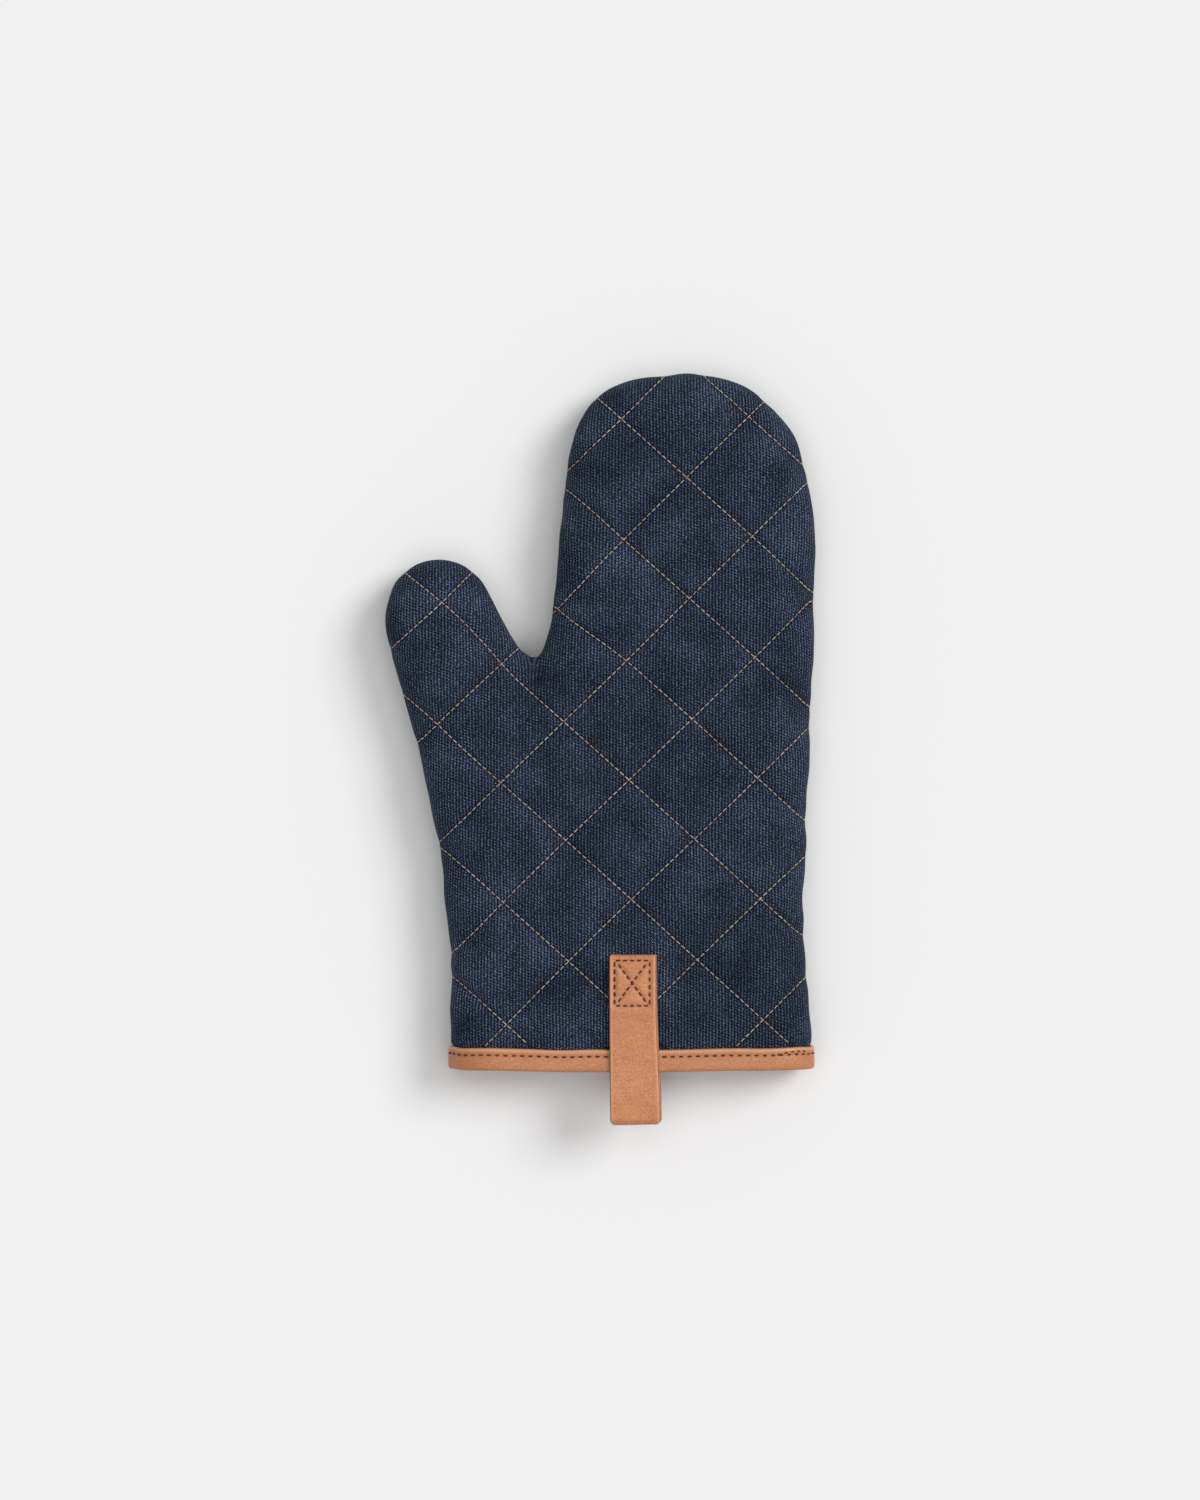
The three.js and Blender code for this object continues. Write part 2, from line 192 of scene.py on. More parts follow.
class Waves:
    """Smooth repeatable unevenness: a sum of a few seeded plane waves."""

    def __init__(self, length, seed, count=14, stretch=(1.0, 1.0)):
        rng = np.random.default_rng(seed)
        angles = rng.uniform(0, math.tau, count)
        rates = math.tau / (length * rng.uniform(0.6, 1.7, count))
        self.kx = rates * np.cos(angles) / stretch[0]
        self.ky = rates * np.sin(angles) / stretch[1]
        self.phase = rng.uniform(0, math.tau, count)
        self.scale = 1 / math.sqrt(count / 2)

    def at(self, x, y):
        """The height of the waves at some points: about -1 to 1."""
        x, y = np.asarray(x, float), np.asarray(y, float)
        total = np.zeros(np.broadcast(x, y).shape)
        for kx, ky, phase in zip(self.kx, self.ky, self.phase):
            total += np.sin(kx * x + ky * y + phase)
        return total * self.scale


# ---- The seam line and the flat pattern ----

def catmull_rom(points, per_span):
    """A centripetal Catmull-Rom curve through points, the same kind as the solid model's."""
    points = np.asarray(points, float)
    first = 2 * points[0] - points[1]
    last = 2 * points[-1] - points[-2]
    full = np.vstack([first, points, last])
    out = []
    for i in range(1, len(full) - 2):
        p0, p1, p2, p3 = full[i - 1:i + 3]
        t1 = math.sqrt(np.linalg.norm(p1 - p0))
        t2 = t1 + math.sqrt(np.linalg.norm(p2 - p1))
        t3 = t2 + math.sqrt(np.linalg.norm(p3 - p2))
        for t in np.linspace(t1, t2, per_span, endpoint=False):
            a1 = (t1 - t) / t1 * p0 + t / t1 * p1
            a2 = (t2 - t) / (t2 - t1) * p1 + (t - t1) / (t2 - t1) * p2
            a3 = (t3 - t) / (t3 - t2) * p2 + (t - t2) / (t3 - t2) * p3
            b1 = (t2 - t) / t2 * a1 + t / t2 * a2
            b2 = (t3 - t) / (t3 - t1) * a2 + (t - t1) / (t3 - t1) * a3
            out.append((t2 - t) / (t2 - t1) * b1 + (t - t1) / (t2 - t1) * b2)
    out.append(points[-1])
    return np.array(out)


def even_steps(points, spacing, closed=False):
    """Points at an even spacing along a polyline."""
    points = np.asarray(points, float)
    if closed:
        points = np.vstack([points, points[:1]])
    lengths = np.r_[0, np.cumsum(np.linalg.norm(np.diff(points, axis=0), axis=1))]
    count = max(2, round(lengths[-1] / spacing))
    at = np.linspace(0, lengths[-1], count, endpoint=not closed)
    return np.column_stack([np.interp(at, lengths, points[:, k]) for k in range(points.shape[1])])


def make_seam(spacing):
    """The seam from the left of the cuff, round the thumb and fingertips, to the right."""
    curve = catmull_rom([(x, TIP_Y - down) for x, down in PATTERN], 16)
    inside = curve[:, 1] >= CLOTH_END_Y
    first, last = np.argmax(inside), len(inside) - 1 - np.argmax(inside[::-1])
    share_first = (CLOTH_END_Y - curve[first - 1, 1]) / (curve[first, 1] - curve[first - 1, 1])
    share_last = (CLOTH_END_Y - curve[last, 1]) / (curve[last + 1, 1] - curve[last, 1])
    start = curve[first - 1] + share_first * (curve[first] - curve[first - 1])
    end = curve[last] + share_last * (curve[last + 1] - curve[last])
    return even_steps(np.vstack([start, curve[first:last + 1], end]), spacing)


def inward_normals(line):
    """Unit vectors into the cloth; the two at the cuff are level, so the cuff stays straight."""
    tangent = np.gradient(line, axis=0)
    tangent /= np.linalg.norm(tangent, axis=1)[:, None]
    normal = np.column_stack([tangent[:, 1], -tangent[:, 0]])
    normal[0], normal[-1] = (1, 0), (-1, 0)
    return normal


FINE_SEAM = make_seam(0.8)
FINE_IN = inward_normals(FINE_SEAM)


def seam_distance(points):
    """Distance to the seam and the inward direction there."""
    points = np.asarray(points, float)
    distance = np.empty(len(points))
    nearest = np.empty(len(points), int)
    for low in range(0, len(points), 2000):
        part = points[low:low + 2000]
        gaps = np.linalg.norm(part[:, None] - FINE_SEAM[None], axis=2)
        nearest[low:low + 2000] = gaps.argmin(axis=1)
        distance[low:low + 2000] = gaps.min(axis=1)
    inward = FINE_IN[nearest]
    straight = np.abs(((points - FINE_SEAM[nearest]) * inward).sum(axis=1))
    return np.where(distance < 12, straight, distance), inward


# The two directions of the quilting lines and the spacing between the lines of each.
RISING = rotated(DIAMOND / 2, QUILT_TURN)
FALLING = rotated(DIAMOND / 2 * (1, -1), QUILT_TURN)
QUILT_DIRECTIONS = (RISING / np.linalg.norm(RISING), FALLING / np.linalg.norm(FALLING))
QUILT_STEPS = (FALLING, RISING)
QUILT_PULLS = (
    ((-64.0, 60.0), 34.0, np.array([4.2, 0.9])),
    ((-18.0, 60.0), 24.0, np.array([-1.8, -3.4])),
    ((-14.0, -66.0), 60.0, np.array([-0.4, 1.4])),
)
THUMB_OUT = np.array([-QUILT_DIRECTIONS[0][1], QUILT_DIRECTIONS[0][0]])
THUMB_LINE_POINT = QUILT_CENTRE - THUMB_LINE * FALLING


def quilt_line(family, number):
    """A point on one quilting line and the line's direction."""
    return QUILT_CENTRE + number * QUILT_STEPS[family], QUILT_DIRECTIONS[family]


def wander(points):
    """How far the sewn lines stray from straight: the thumb and the crotch pull them."""
    x, y = points.T
    shift = np.zeros((len(points), 2))
    for centre, size, pull in QUILT_PULLS:
        strength = np.exp(-((x - centre[0]) ** 2 + (y - centre[1]) ** 2) / size ** 2)
        shift += strength[:, None] * pull
    return shift


def quilt_distances(points):
    """For each family: distance to the nearest line, the line spacing, and place along it."""
    points = points - wander(points)
    out = []
    for family in (0, 1):
        along = QUILT_DIRECTIONS[family]
        across = np.array([-along[1], along[0]])
        spacing = abs(across @ QUILT_STEPS[family])
        offset = (points - QUILT_CENTRE) @ across
        gap = np.abs((offset / spacing + 0.5) % 1 - 0.5) * spacing
        out.append((gap, spacing, (points - QUILT_CENTRE) @ along))
    return out


def inside_polygon(points, polygon):
    """True for the points inside a closed polygon."""
    x, y = points[:, 0], points[:, 1]
    inside = np.zeros(len(points), bool)
    for (x1, y1), (x2, y2) in zip(polygon, np.roll(polygon, -1, axis=0)):
        crosses = (y1 > y) != (y2 > y)
        with np.errstate(divide="ignore", invalid="ignore"):
            at = (x2 - x1) * (y - y1) / (y2 - y1) + x1
        inside ^= crosses & (x < at)
    return inside


def thinned(points, spacing, kept=None):
    """Points in order, leaving out each one that is closer than spacing to one already kept."""
    cell = spacing
    grid = {}
    out = []

    def add(point):
        grid.setdefault((int(point[0] // cell), int(point[1] // cell)), []).append(point)

    for point in (kept if kept is not None else ()):
        add(point)
    for point in points:
        cx, cy = int(point[0] // cell), int(point[1] // cell)
        close = [q for i in (-1, 0, 1) for j in (-1, 0, 1) for q in grid.get((cx + i, cy + j), ())]
        if all((q[0] - point[0]) ** 2 + (q[1] - point[1]) ** 2 >= spacing ** 2 for q in close):
            add(point)
            out.append(point)
    return np.array(out)


def quilting_points():
    """Mesh points on the quilting lines, two for each stitch, and in rows beside them."""
    reach = np.arange(-LINE_REACH, LINE_REACH, STITCH_PITCH / 2)
    rows = []
    for offset in (0.0, 1.0, -1.0, 2.3, -2.3):
        for family in (0, 1):
            for number in range(-QUILT_LINES, QUILT_LINES + 1):
                point, along = quilt_line(family, number)
                across = np.array([-along[1], along[0]])
                shift = STITCH_PITCH / 4 if abs(offset) == 1.0 else 0.0
                step = reach if abs(offset) < 2 else reach[::2]
                rows.append(point + offset * across + (step + shift)[:, None] * along)
    rows = np.vstack(rows)
    fine = np.arange(-9, 9, 1.1)
    patch = np.column_stack([axis.ravel() for axis in np.meshgrid(fine, fine)]) + PUCKER
    return np.vstack([rows + wander(rows), patch])


def fill_points(spacing):
    """A hexagonal fill over the whole pattern."""
    rows = []
    height = spacing * math.sqrt(3) / 2
    for index, y in enumerate(np.arange(CLOTH_END_Y, TIP_Y, height)):
        shift = spacing / 2 if index % 2 else 0
        xs = np.arange(-100, 100, spacing) + shift
        rows.append(np.column_stack([xs, np.full(len(xs), y)]))
    return np.vstack(rows)


def strip_faces(count, strips):
    """Quads between neighbouring strips of edge points."""
    faces = []
    for k in range(strips - 1):
        for i in range(count - 1):
            a, b = k * count + i, k * count + i + 1
            faces.append((a, b, b + count, a + count))
    return faces


def clear_of_edges(points, from_strips, from_cuff):
    """The points that keep these distances from the edge strips and from the cuff's edge."""
    inside = seam_distance(points)[0] > STRIPS[-1] + from_strips
    return points[inside & (points[:, 1] > CLOTH_END_Y + from_cuff)]


def middle_points(spacing, quilted, border):
    """Points inside the edge strips: the sewn lines first, then an even fill."""
    sewn = np.empty((0, 2))
    if quilted:
        sewn = quilting_points()
        sewn = thinned(sewn[inside_polygon(sewn, border)], SEWN_APART, border)
        sewn = clear_of_edges(sewn, SEWN_FROM_STRIPS, SEWN_FROM_CUFF)
    fill = fill_points(spacing * 1.1)
    fill = fill[inside_polygon(fill, border)]
    fill = clear_of_edges(fill, FILL_FROM_EDGES, FILL_FROM_EDGES)
    return np.vstack([sewn, thinned(fill, spacing * 0.7, np.vstack([sewn, border]))])


def triangulate(border, middle, first, shared):
    """The new points and the triangles that fill a border; the faces look down.

    The border's leading points, as many as shared, are in the mesh already, from number first on.
    """
    flat = [Vector(point) for point in np.vstack([border, middle])]
    edges = [(i, (i + 1) % len(border)) for i in range(len(border))]
    places, _, triangles, origins, _, _ = geometry.delaunay_2d_cdt(flat, edges, [], 1, 1e-4)
    numbers = []
    added = []
    for place, origin in zip(places, origins):
        known = [index for index in origin if index < shared]
        if known:
            numbers.append(first + known[0])
        else:
            numbers.append(first + shared + len(added))
            added.append(tuple(place))
    return added, [tuple(numbers[i] for i in reversed(triangle)) for triangle in triangles]


def flat_panel(spacing, quilted):
    """One panel laid flat: edge strips first, then the middle. Faces look down."""
    line = make_seam(spacing)
    inward = inward_normals(line)
    strips = [line + inward * distance for distance in STRIPS]
    faces = strip_faces(len(line), len(strips))
    cuff = even_steps([strips[-1][-1], strips[-1][0]], spacing)[1:-1]
    border = np.vstack([strips[-1], cuff])
    middle = middle_points(spacing, quilted, border)
    added, triangles = triangulate(border, middle, (len(strips) - 1) * len(line), len(line))
    return np.vstack(strips + [np.array(added)]), faces + triangles


# ---- From flat cloth to the padded form ----

def rounding(distance, reach, power=2.3):
    """Height share of the padded edge: 0 at the seam, 1 from reach inwards."""
    share = np.clip(distance / reach, 0, 1)
    return (1 - (1 - share) ** power) ** (1 / power)


def edge_excess(distance, reach, height):
    """How much longer the cloth is than its plan, from here in to the flat part."""
    steps = np.linspace(0, reach, 400)
    rise = rounding(steps, reach) * height
    runs = np.hypot(np.diff(steps), np.diff(rise))
    to_here = np.r_[0, np.cumsum(runs)]
    left_to_run = to_here[-1] - np.interp(distance, steps, to_here)
    return left_to_run - (reach - np.minimum(distance, reach))


def rounding_of(side):
    """How far in the edge of a panel rounds over, and how high it stands from the seam."""
    if side > 0:
        return FRONT_ROUNDING, CROWN_Z - SEAM_Z
    return BACK_ROUNDING, SEAM_Z - BACK_Z


BROAD_FOLDS = Waves(52, 11)
SOFT_FOLDS = Waves(19, 12, stretch=(1.0, 1.6))
FINE_CREASES = Waves(7, 13, stretch=(1.0, 2.2))
UNEVEN = Waves(60, 14)
OUTLINE_WAVER = Waves(24, 15)


def quilting_height(points, puff):
    """How the wadding swells between quilting lines and the thread pulls it in."""
    (gap_a, space_a, along_a), (gap_b, space_b, along_b) = quilt_distances(points)
    swell_a = np.sin(math.pi * gap_a / space_a)
    swell_b = np.sin(math.pi * gap_b / space_b)
    height = puff * (swell_a * swell_b) ** 0.5 * (1 + 0.18 * UNEVEN.at(*points.T))
    for gap, along in ((gap_a, along_a), (gap_b, along_b)):
        strength = 1 + 0.35 * SOFT_FOLDS.at(*points.T)
        height -= 0.5 * strength * np.exp(-(gap / 1.1) ** 1.5)
        pull = np.exp(-gap / 2.6) * (0.6 + 0.4 * FINE_CREASES.at(*points.T))
        height += 0.09 * pull * np.cos(math.tau * along / STITCH_PITCH)
    return height


def dent(points, centre, size, angle, depth):
    """A soft dip, longer one way than the other."""
    along, across = rotated((points - np.asarray(centre)).T, -angle)
    return -depth * np.exp(-(along / size[0]) ** 2 - (across / size[1]) ** 2)


def crease_height(points):
    """Wrinkles that the whole mitt shows: soft folds, and pulls at the crotch and wrist."""
    x, y = points.T
    height = 0.34 * BROAD_FOLDS.at(x, y) + 0.13 * SOFT_FOLDS.at(x, y)
    height += 0.035 * FINE_CREASES.at(x, y)
    height += dent(points, PUCKER, (2.3, 4.2), math.radians(-20), 2.4)
    height += dent(points, PUCKER + (7.0, -6.0), (4.0, 11.0), math.radians(50), 0.8)
    height += dent(points, PUCKER + (-7.0, 0.0), (1.8, 7.0), math.radians(35), 0.5)
    height += dent(points, (84.0, -76.0), (9.0, 2.2), math.radians(12), 0.9)
    height += dent(points, (83.0, -70.0), (6.0, 1.6), math.radians(8), 0.5)
    height += dent(points, (-60.0, -84.0), (8.0, 2.4), math.radians(-14), 0.5)
    return height


# Where the cover is painted darker: painted shade in the creases below the crotch and at a fold by
# the right edge, and broad darker patches. Place, size both ways, angle in degrees, and how dark.
DARK_PLACES = (
    (PUCKER, (4.4, 6.4), -20, 1.0),
    (PUCKER + (9.0, -7.0), (7.0, 16.0), 50, 0.4),
    ((86.0, -73.0), (12.0, 3.2), 12, 0.4),
    ((66.0, -92.0), (30.0, 34.0), 0, 0.42),
    ((14.0, -4.0), (34.0, 30.0), 0, 0.26),
    ((28.0, 128.0), (26.0, 24.0), 0, 0.22),
    ((74.0, 20.0), (20.0, 42.0), 0, 0.22),
)


def crease_shade_and_patch_share(points):
    """How much the cover is painted darker: painted shade most in the fold below the crotch, and
    softer darker patches elsewhere.
    """
    dark = np.zeros(len(points))
    for centre, size, angle, depth in DARK_PLACES:
        dark = np.maximum(dark, -dent(points, centre, size, math.radians(angle), depth))
    return dark


STRAP_SINKS = 0.55


def strap_pressure(points, z):
    """Push the cloth down softly so that the strap lies on it."""
    x, y = points.T
    reach = 7
    across = smoothstep(TAB_LOW[0] - reach, TAB_LOW[0] + 1, x)
    across *= 1 - smoothstep(TAB_HIGH[0] - 1, TAB_HIGH[0] + reach, x)
    along = 1 - smoothstep(TAB_HIGH[1] - 1, TAB_HIGH[1] + reach, y)
    over = np.maximum(z - (LOWER_TAB_Z - STRAP_SINKS), 0)
    return z - over * across * along


def edge_waver(points, distance):
    """How the outline wanders: a little everywhere, and pulled in where quilting meets the seam."""
    gaps = [gap for gap, _, _ in quilt_distances(points)]
    pinch = 0.4 * np.exp(-(np.minimum(*gaps) / 3.0) ** 2)
    free = smoothstep(BINDING_TOP_Y, BINDING_TOP_Y + 8, points[:, 1])
    waver = free * np.exp(-distance / 9) * (pinch + 0.28 * OUTLINE_WAVER.at(*points.T))
    from_crotch = np.linalg.norm(points - CROTCH, axis=1)
    bulge = EDGE_BULGE * smoothstep(5, 20, from_crotch)
    return waver - bulge * np.exp(-distance / 4)


def padded_surface(points, side, seam_tuck=SEAM_TUCK):
    """Places of flat pattern points on the padded mitt; side is 1 for the front, -1 the back."""
    distance, inward = seam_distance(points)
    y = points[:, 1]
    reach, full = rounding_of(side)
    dome = DOME_RISE * smoothstep(18, 80, distance) if side > 0 else 0.0
    squeeze = (1 - smoothstep(BINDING_TOP_Y - 0.6, BINDING_TOP_Y + 2.4, y)) * CUFF_SQUEEZE
    height = rounding(distance, reach) * (full - squeeze) + dome
    tuck = seam_tuck * np.exp(-distance / 0.3)
    moved_in = tuck + squeeze * np.exp(-distance / 6) + edge_waver(points, distance)
    plan = points + inward * moved_in[:, None]
    return np.column_stack([plan, SEAM_Z + side * height])


# Front and back read the same noise this far apart, so that they don't mirror each other.
CLOTH_APART = 40.0


def cloth_places(points, side):
    """Each point's place on the flat cloth, for the weave."""
    distance, inward = seam_distance(points)
    reach, height = rounding_of(side)
    flat = points - inward * edge_excess(distance, reach, height)[:, None]
    return np.column_stack([flat, np.full(len(points), CLOTH_APART * side)])


def point_normals(vertices, faces):
    """Area-weighted normals at the points of a triangle and quad mesh."""
    normals = np.zeros_like(vertices)
    for size in (3, 4):
        group = np.array([f for f in faces if len(f) == size])
        if len(group) == 0:
            continue
        a, b, c = vertices[group[:, 0]], vertices[group[:, 1]], vertices[group[:, 2]]
        cross = np.cross(b - a, c - a)
        if size == 4:
            cross = np.cross(c - a, vertices[group[:, 3]] - b)
        for k in range(size):
            np.add.at(normals, group[:, k], cross)
    return normals / np.maximum(np.linalg.norm(normals, axis=1), 1e-9)[:, None]


def panel_lift(points, side):
    """How far quilting and wrinkles lift the cover off the plain padded form."""
    distance, _ = seam_distance(points)
    free = smoothstep(0, 2.5, distance)
    free *= smoothstep(BINDING_TOP_Y - 1, BINDING_TOP_Y + 5, points[:, 1])
    if side > 0:
        return free * (quilting_height(points, FRONT_PUFF) + crease_height(points))
    return free * (BACK_SHARE * quilting_height(points, FRONT_PUFF) + 0.3 * crease_height(points))


def shell_surface(points, faces, side):
    """The outer cloth of one panel, quilted and creased."""
    base = padded_surface(points, side)
    normals = point_normals(base, faces)
    surface = base + normals * panel_lift(points, side)[:, None]
    if side > 0:
        surface[:, 2] = strap_pressure(points, surface[:, 2])
    return surface


REST_HEIGHT = 0.15
REST_SOFTNESS = 0.6


def rest_on_floor(z):
    """Flatten softly what would sink into the surface that the mitt lies on."""
    above = z - REST_HEIGHT
    return REST_HEIGHT + (above + np.sqrt(above ** 2 + REST_SOFTNESS ** 2)) / 2


# ---- Cloth simulation: the wadding presses the cover out between its stitches ----

SETTLE_FRAMES = 20
SETTLE_SCALE = 10.0
SETTLE_PRESSURE = 4.0
SETTLE_SLACK = 0.02
SETTLE_LIMIT = 1.1


def sewn_weights(flat, surface, side):
    """1 where a seam, a stitch, the binding or the strap holds the cover, 0 where it is free."""
    distance, _ = seam_distance(flat)
    gaps = [gap for gap, _, _ in quilt_distances(flat)]
    stitched = 1 - smoothstep(0.3, 1.6, np.minimum(*gaps))
    edge = 1 - smoothstep(3.0, 9.0, distance)
    cuff = 1 - smoothstep(BINDING_TOP_Y + 1, BINDING_TOP_Y + 6, flat[:, 1])
    held = np.maximum(np.maximum(stitched, edge), cuff)
    if side > 0:
        x, y = flat.T
        strap = smoothstep(TAB_LOW[0] - 5, TAB_LOW[0], x)
        strap *= smoothstep(TAB_HIGH[0] + 5, TAB_HIGH[0], x)
        held = np.maximum(held, strap * smoothstep(TAB_HIGH[1] + 5, TAB_HIGH[1], y))
    return held


def settle(flat, faces, surface, side):
    """The cover after a short pressure simulation; each point moves by no more than the limit."""
    scale = SETTLE_SCALE * MM
    mesh = bpy.data.meshes.new("settling")
    mesh.from_pydata([tuple(p) for p in surface * scale], [], faces)
    cloth_object = link("settling", mesh)
    group = cloth_object.vertex_groups.new(name="sewn")
    for index, weight in enumerate(sewn_weights(flat, surface, side)):
        group.add([index], float(weight), "REPLACE")
    modifier = cloth_object.modifiers.new("cloth", "CLOTH")
    cloth = modifier.settings
    cloth.quality = 5
    cloth.mass = 0.2
    cloth.tension_stiffness = 20
    cloth.compression_stiffness = 6
    cloth.shear_stiffness = 4
    cloth.bending_stiffness = 0.4
    cloth.air_damping = 3
    cloth.vertex_group_mass = "sewn"
    cloth.shrink_min = -SETTLE_SLACK
    cloth.use_pressure = True
    cloth.uniform_pressure_force = SETTLE_PRESSURE
    cloth.effector_weights.gravity = 0
    modifier.point_cache.frame_start = 1
    modifier.point_cache.frame_end = SETTLE_FRAMES
    for frame_number in range(1, SETTLE_FRAMES + 1):
        bpy.context.scene.frame_set(frame_number)
    result = cloth_object.evaluated_get(bpy.context.evaluated_depsgraph_get()).to_mesh()
    places = np.empty(len(surface) * 3)
    result.vertices.foreach_get("co", places)
    moved = places.reshape(-1, 3) / scale - surface
    bpy.data.objects.remove(cloth_object)
    bpy.context.scene.frame_set(1)
    length = np.maximum(np.linalg.norm(moved, axis=1)[:, None], 1e-9)
    return surface + moved * SETTLE_LIMIT * np.tanh(length / SETTLE_LIMIT) / length


# ---- Pieces of cloth ----

def border_edges(faces):
    """Directed edges that only one face uses."""
    used = {}
    for face in faces:
        for a, b in zip(face, face[1:] + face[:1]):
            used[(a, b)] = True
    return [(a, b) for a, b in used if (b, a) not in used]


def thick(vertices, faces, thickness):
    """A closed body: the surface, a parallel one under it, and a rim round the border."""
    faces = [tuple(f) for f in faces]
    inner = vertices - point_normals(vertices, faces) * thickness
    count = len(vertices)
    under = [tuple(i + count for i in reversed(f)) for f in faces]
    rim = [(b, a, a + count, b + count) for a, b in border_edges(faces)]
    return np.vstack([vertices, inner]), faces + under + rim


def on_thumb(points):
    """True beyond the quilting line at the thumb's root."""
    return ((points - THUMB_LINE_POINT) @ THUMB_OUT > 0) & (points[:, 0] < CROTCH[0])


def picked(faces, wanted, *arrays):
    """The faces marked in wanted, with only the points that they use."""
    faces = [f for f, keep in zip(faces, wanted) if keep]
    used = sorted({i for f in faces for i in f})
    place = {old: new for new, old in enumerate(used)}
    return [tuple(place[i] for i in f) for f in faces], [array[used] for array in arrays]


def zone_nodes(side, zone, kind):
    """The solids of one kind that a hand piece or a thumb piece stands for."""
    parts = ("palm", "fingers") if zone == "hand" else ("thumb",)
    return [f"{PANEL_NAMES[side]}_{part}_{kind}" for part in parts]


def attach(piece, zone, nodes):
    """Fix a piece where it stands, and hide the solids that it stands for."""
    if zone == "hand":
        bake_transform(piece)
    else:
        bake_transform(piece)
    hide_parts(*nodes)


def add_layer(layer, sheet, material, side):
    """One cloth of a panel, as a hand piece and a thumb piece."""
    flat, faces, surface = sheet
    centres = np.array([flat[list(f)].mean(axis=0) for f in faces])
    thumb = on_thumb(centres)
    for zone, wanted in (("hand", ~thumb), ("thumb", thumb)):
        part_faces, (part_flat, part_surface) = picked(faces, wanted, flat, surface)
        vertices, closed = thick(part_surface, part_faces, layer.thickness)
        name = f"{PANEL_NAMES[side]}_{zone}_{layer.piece}_cloth"
        piece = new_object(name, vertices, closed, material)
        places = cloth_places(part_flat, side)
        pattern = np.column_stack([part_flat - wander(part_flat), seam_distance(part_flat)[0]])
        crease_shade_and_patches = np.zeros((len(part_flat), 3))
        # The front cover is painted darker: painted shade in its creases, and broad darker patches.
        if side > 0:
            crease_shade_and_patches[:, 0] = crease_shade_and_patch_share(part_flat)
        for key, values in (("cloth", places), ("pattern", pattern), ("crease_shade_and_patches", crease_shade_and_patches)):
            store_vectors(piece, key, np.vstack([values, values]))
        attach(piece, zone, zone_nodes(side, zone, layer.node))
        declare_soft(layer)


def declare_soft(layer):
    """Does nothing with the layer. Wadding is padding; the cover and lining are sheets, sewn to the
    size they were cut.
    """
    if layer is WADDING:
        return


def layer_surface(points, faces, side, layer):
    """A layer under the cover, swelling less than it does."""
    base = padded_surface(points, side, seam_tuck=0.0)
    normals = point_normals(base, faces)
    lift = layer.swelling * panel_lift(points, side)
    return base + normals * (lift - layer.inset)[:, None]


def cover_surface(flat, faces, side):
    """The outer cloth as it lies: quilted, swollen by its wadding, and resting on the floor."""
    surface = shell_surface(flat, faces, side)
    surface = settle(flat, faces, surface, side)
    if side < 0:
        surface[:, 2] = rest_on_floor(surface[:, 2])
    return surface


def make_panel(side, cloth_materials, thread):
    """The cover, wadding and lining of one panel, and its quilting."""
    sheets = {}
    for layer in (COVER, WADDING, LINING):
        flat, faces = flat_panel(layer.spacing, quilted=layer is COVER)
        if side > 0:
            faces = [tuple(reversed(f)) for f in faces]
        if layer is COVER:
            surface = cover_surface(flat, faces, side)
        else:
            surface = layer_surface(flat, faces, side, layer)
        sheets[layer] = (flat, faces, surface)
        add_layer(layer, sheets[layer], cloth_materials[layer], side)
    add_quilting(side, ClothMap(*sheets[COVER]), ClothMap(*sheets[LINING]), thread)


# ---- Stitches ----

def tube_faces(rings, size, first=0, closed=False):
    """Quads between rings of points; a closed tube also joins its last ring to its first."""
    faces = []
    for ring in range(rings if closed else rings - 1):
        for k in range(size):
            a, b = ring * size + k, ring * size + (k + 1) % size
            corners = (a, b, b + size, a + size)
            faces.append(tuple(first + corner % (rings * size) for corner in corners))
    return faces


STITCH_SIDES = 6
# Along a stitch: place, thickness share and height share. Its ends dive into the cloth.
STITCH_PROFILE = (
    (-0.5, 0.45, -0.55), (-0.38, 0.85, 0.1), (0.0, 1.0, 0.5), (0.38, 0.85, 0.1), (0.5, 0.45, -0.55),
)


def stitch_mesh(start, end, up, radius, first):
    """Points and faces of one stitch, a short thread that bows up between its two holes."""
    middle = (start + end) / 2
    along = end - start
    direction = along / np.linalg.norm(along)
    side = np.cross(direction, up)
    side /= np.linalg.norm(side)
    up = np.cross(side, direction)
    vertices = []
    for place, width, lift in STITCH_PROFILE:
        centre = middle + along * place + up * lift * radius
        for k in range(STITCH_SIDES):
            turn = math.tau * k / STITCH_SIDES
            vertices.append(centre + (side * math.cos(turn) + up * math.sin(turn)) * radius * width)
    rings = len(STITCH_PROFILE)
    faces = tube_faces(rings, STITCH_SIDES, first=first)
    faces.append(tuple(first + k for k in reversed(range(STITCH_SIDES))))
    faces.append(tuple(first + (rings - 1) * STITCH_SIDES + k for k in range(STITCH_SIDES)))
    return vertices, faces


# How far apart two stitches read the thread's noise, so that each has its own colour.
STITCH_APART = 7.3


def thread_piece(name, stitches, radius, material):
    """All the stitches in one list of (start, end, up) as one object."""
    vertices, faces, places = [], [], []
    for number, (start, end, up) in enumerate(stitches):
        size = radius * RNG.uniform(0.92, 1.08)
        new_vertices, new_faces = stitch_mesh(start, end, up, size, len(vertices))
        axis = (end - start) / np.linalg.norm(end - start)
        for vertex in new_vertices:
            run = (vertex - start) @ axis
            places.append((run, (vertex - start) @ np.cross(axis, up), number * STITCH_APART))
        vertices += new_vertices
        faces += new_faces
    piece = new_object(name, vertices, faces, material)
    store_vectors(piece, "thread", places)
    return piece


def cross_2d(a, b):
    """Twice the signed area between two flat vectors."""
    return a[0] * b[1] - a[1] * b[0]


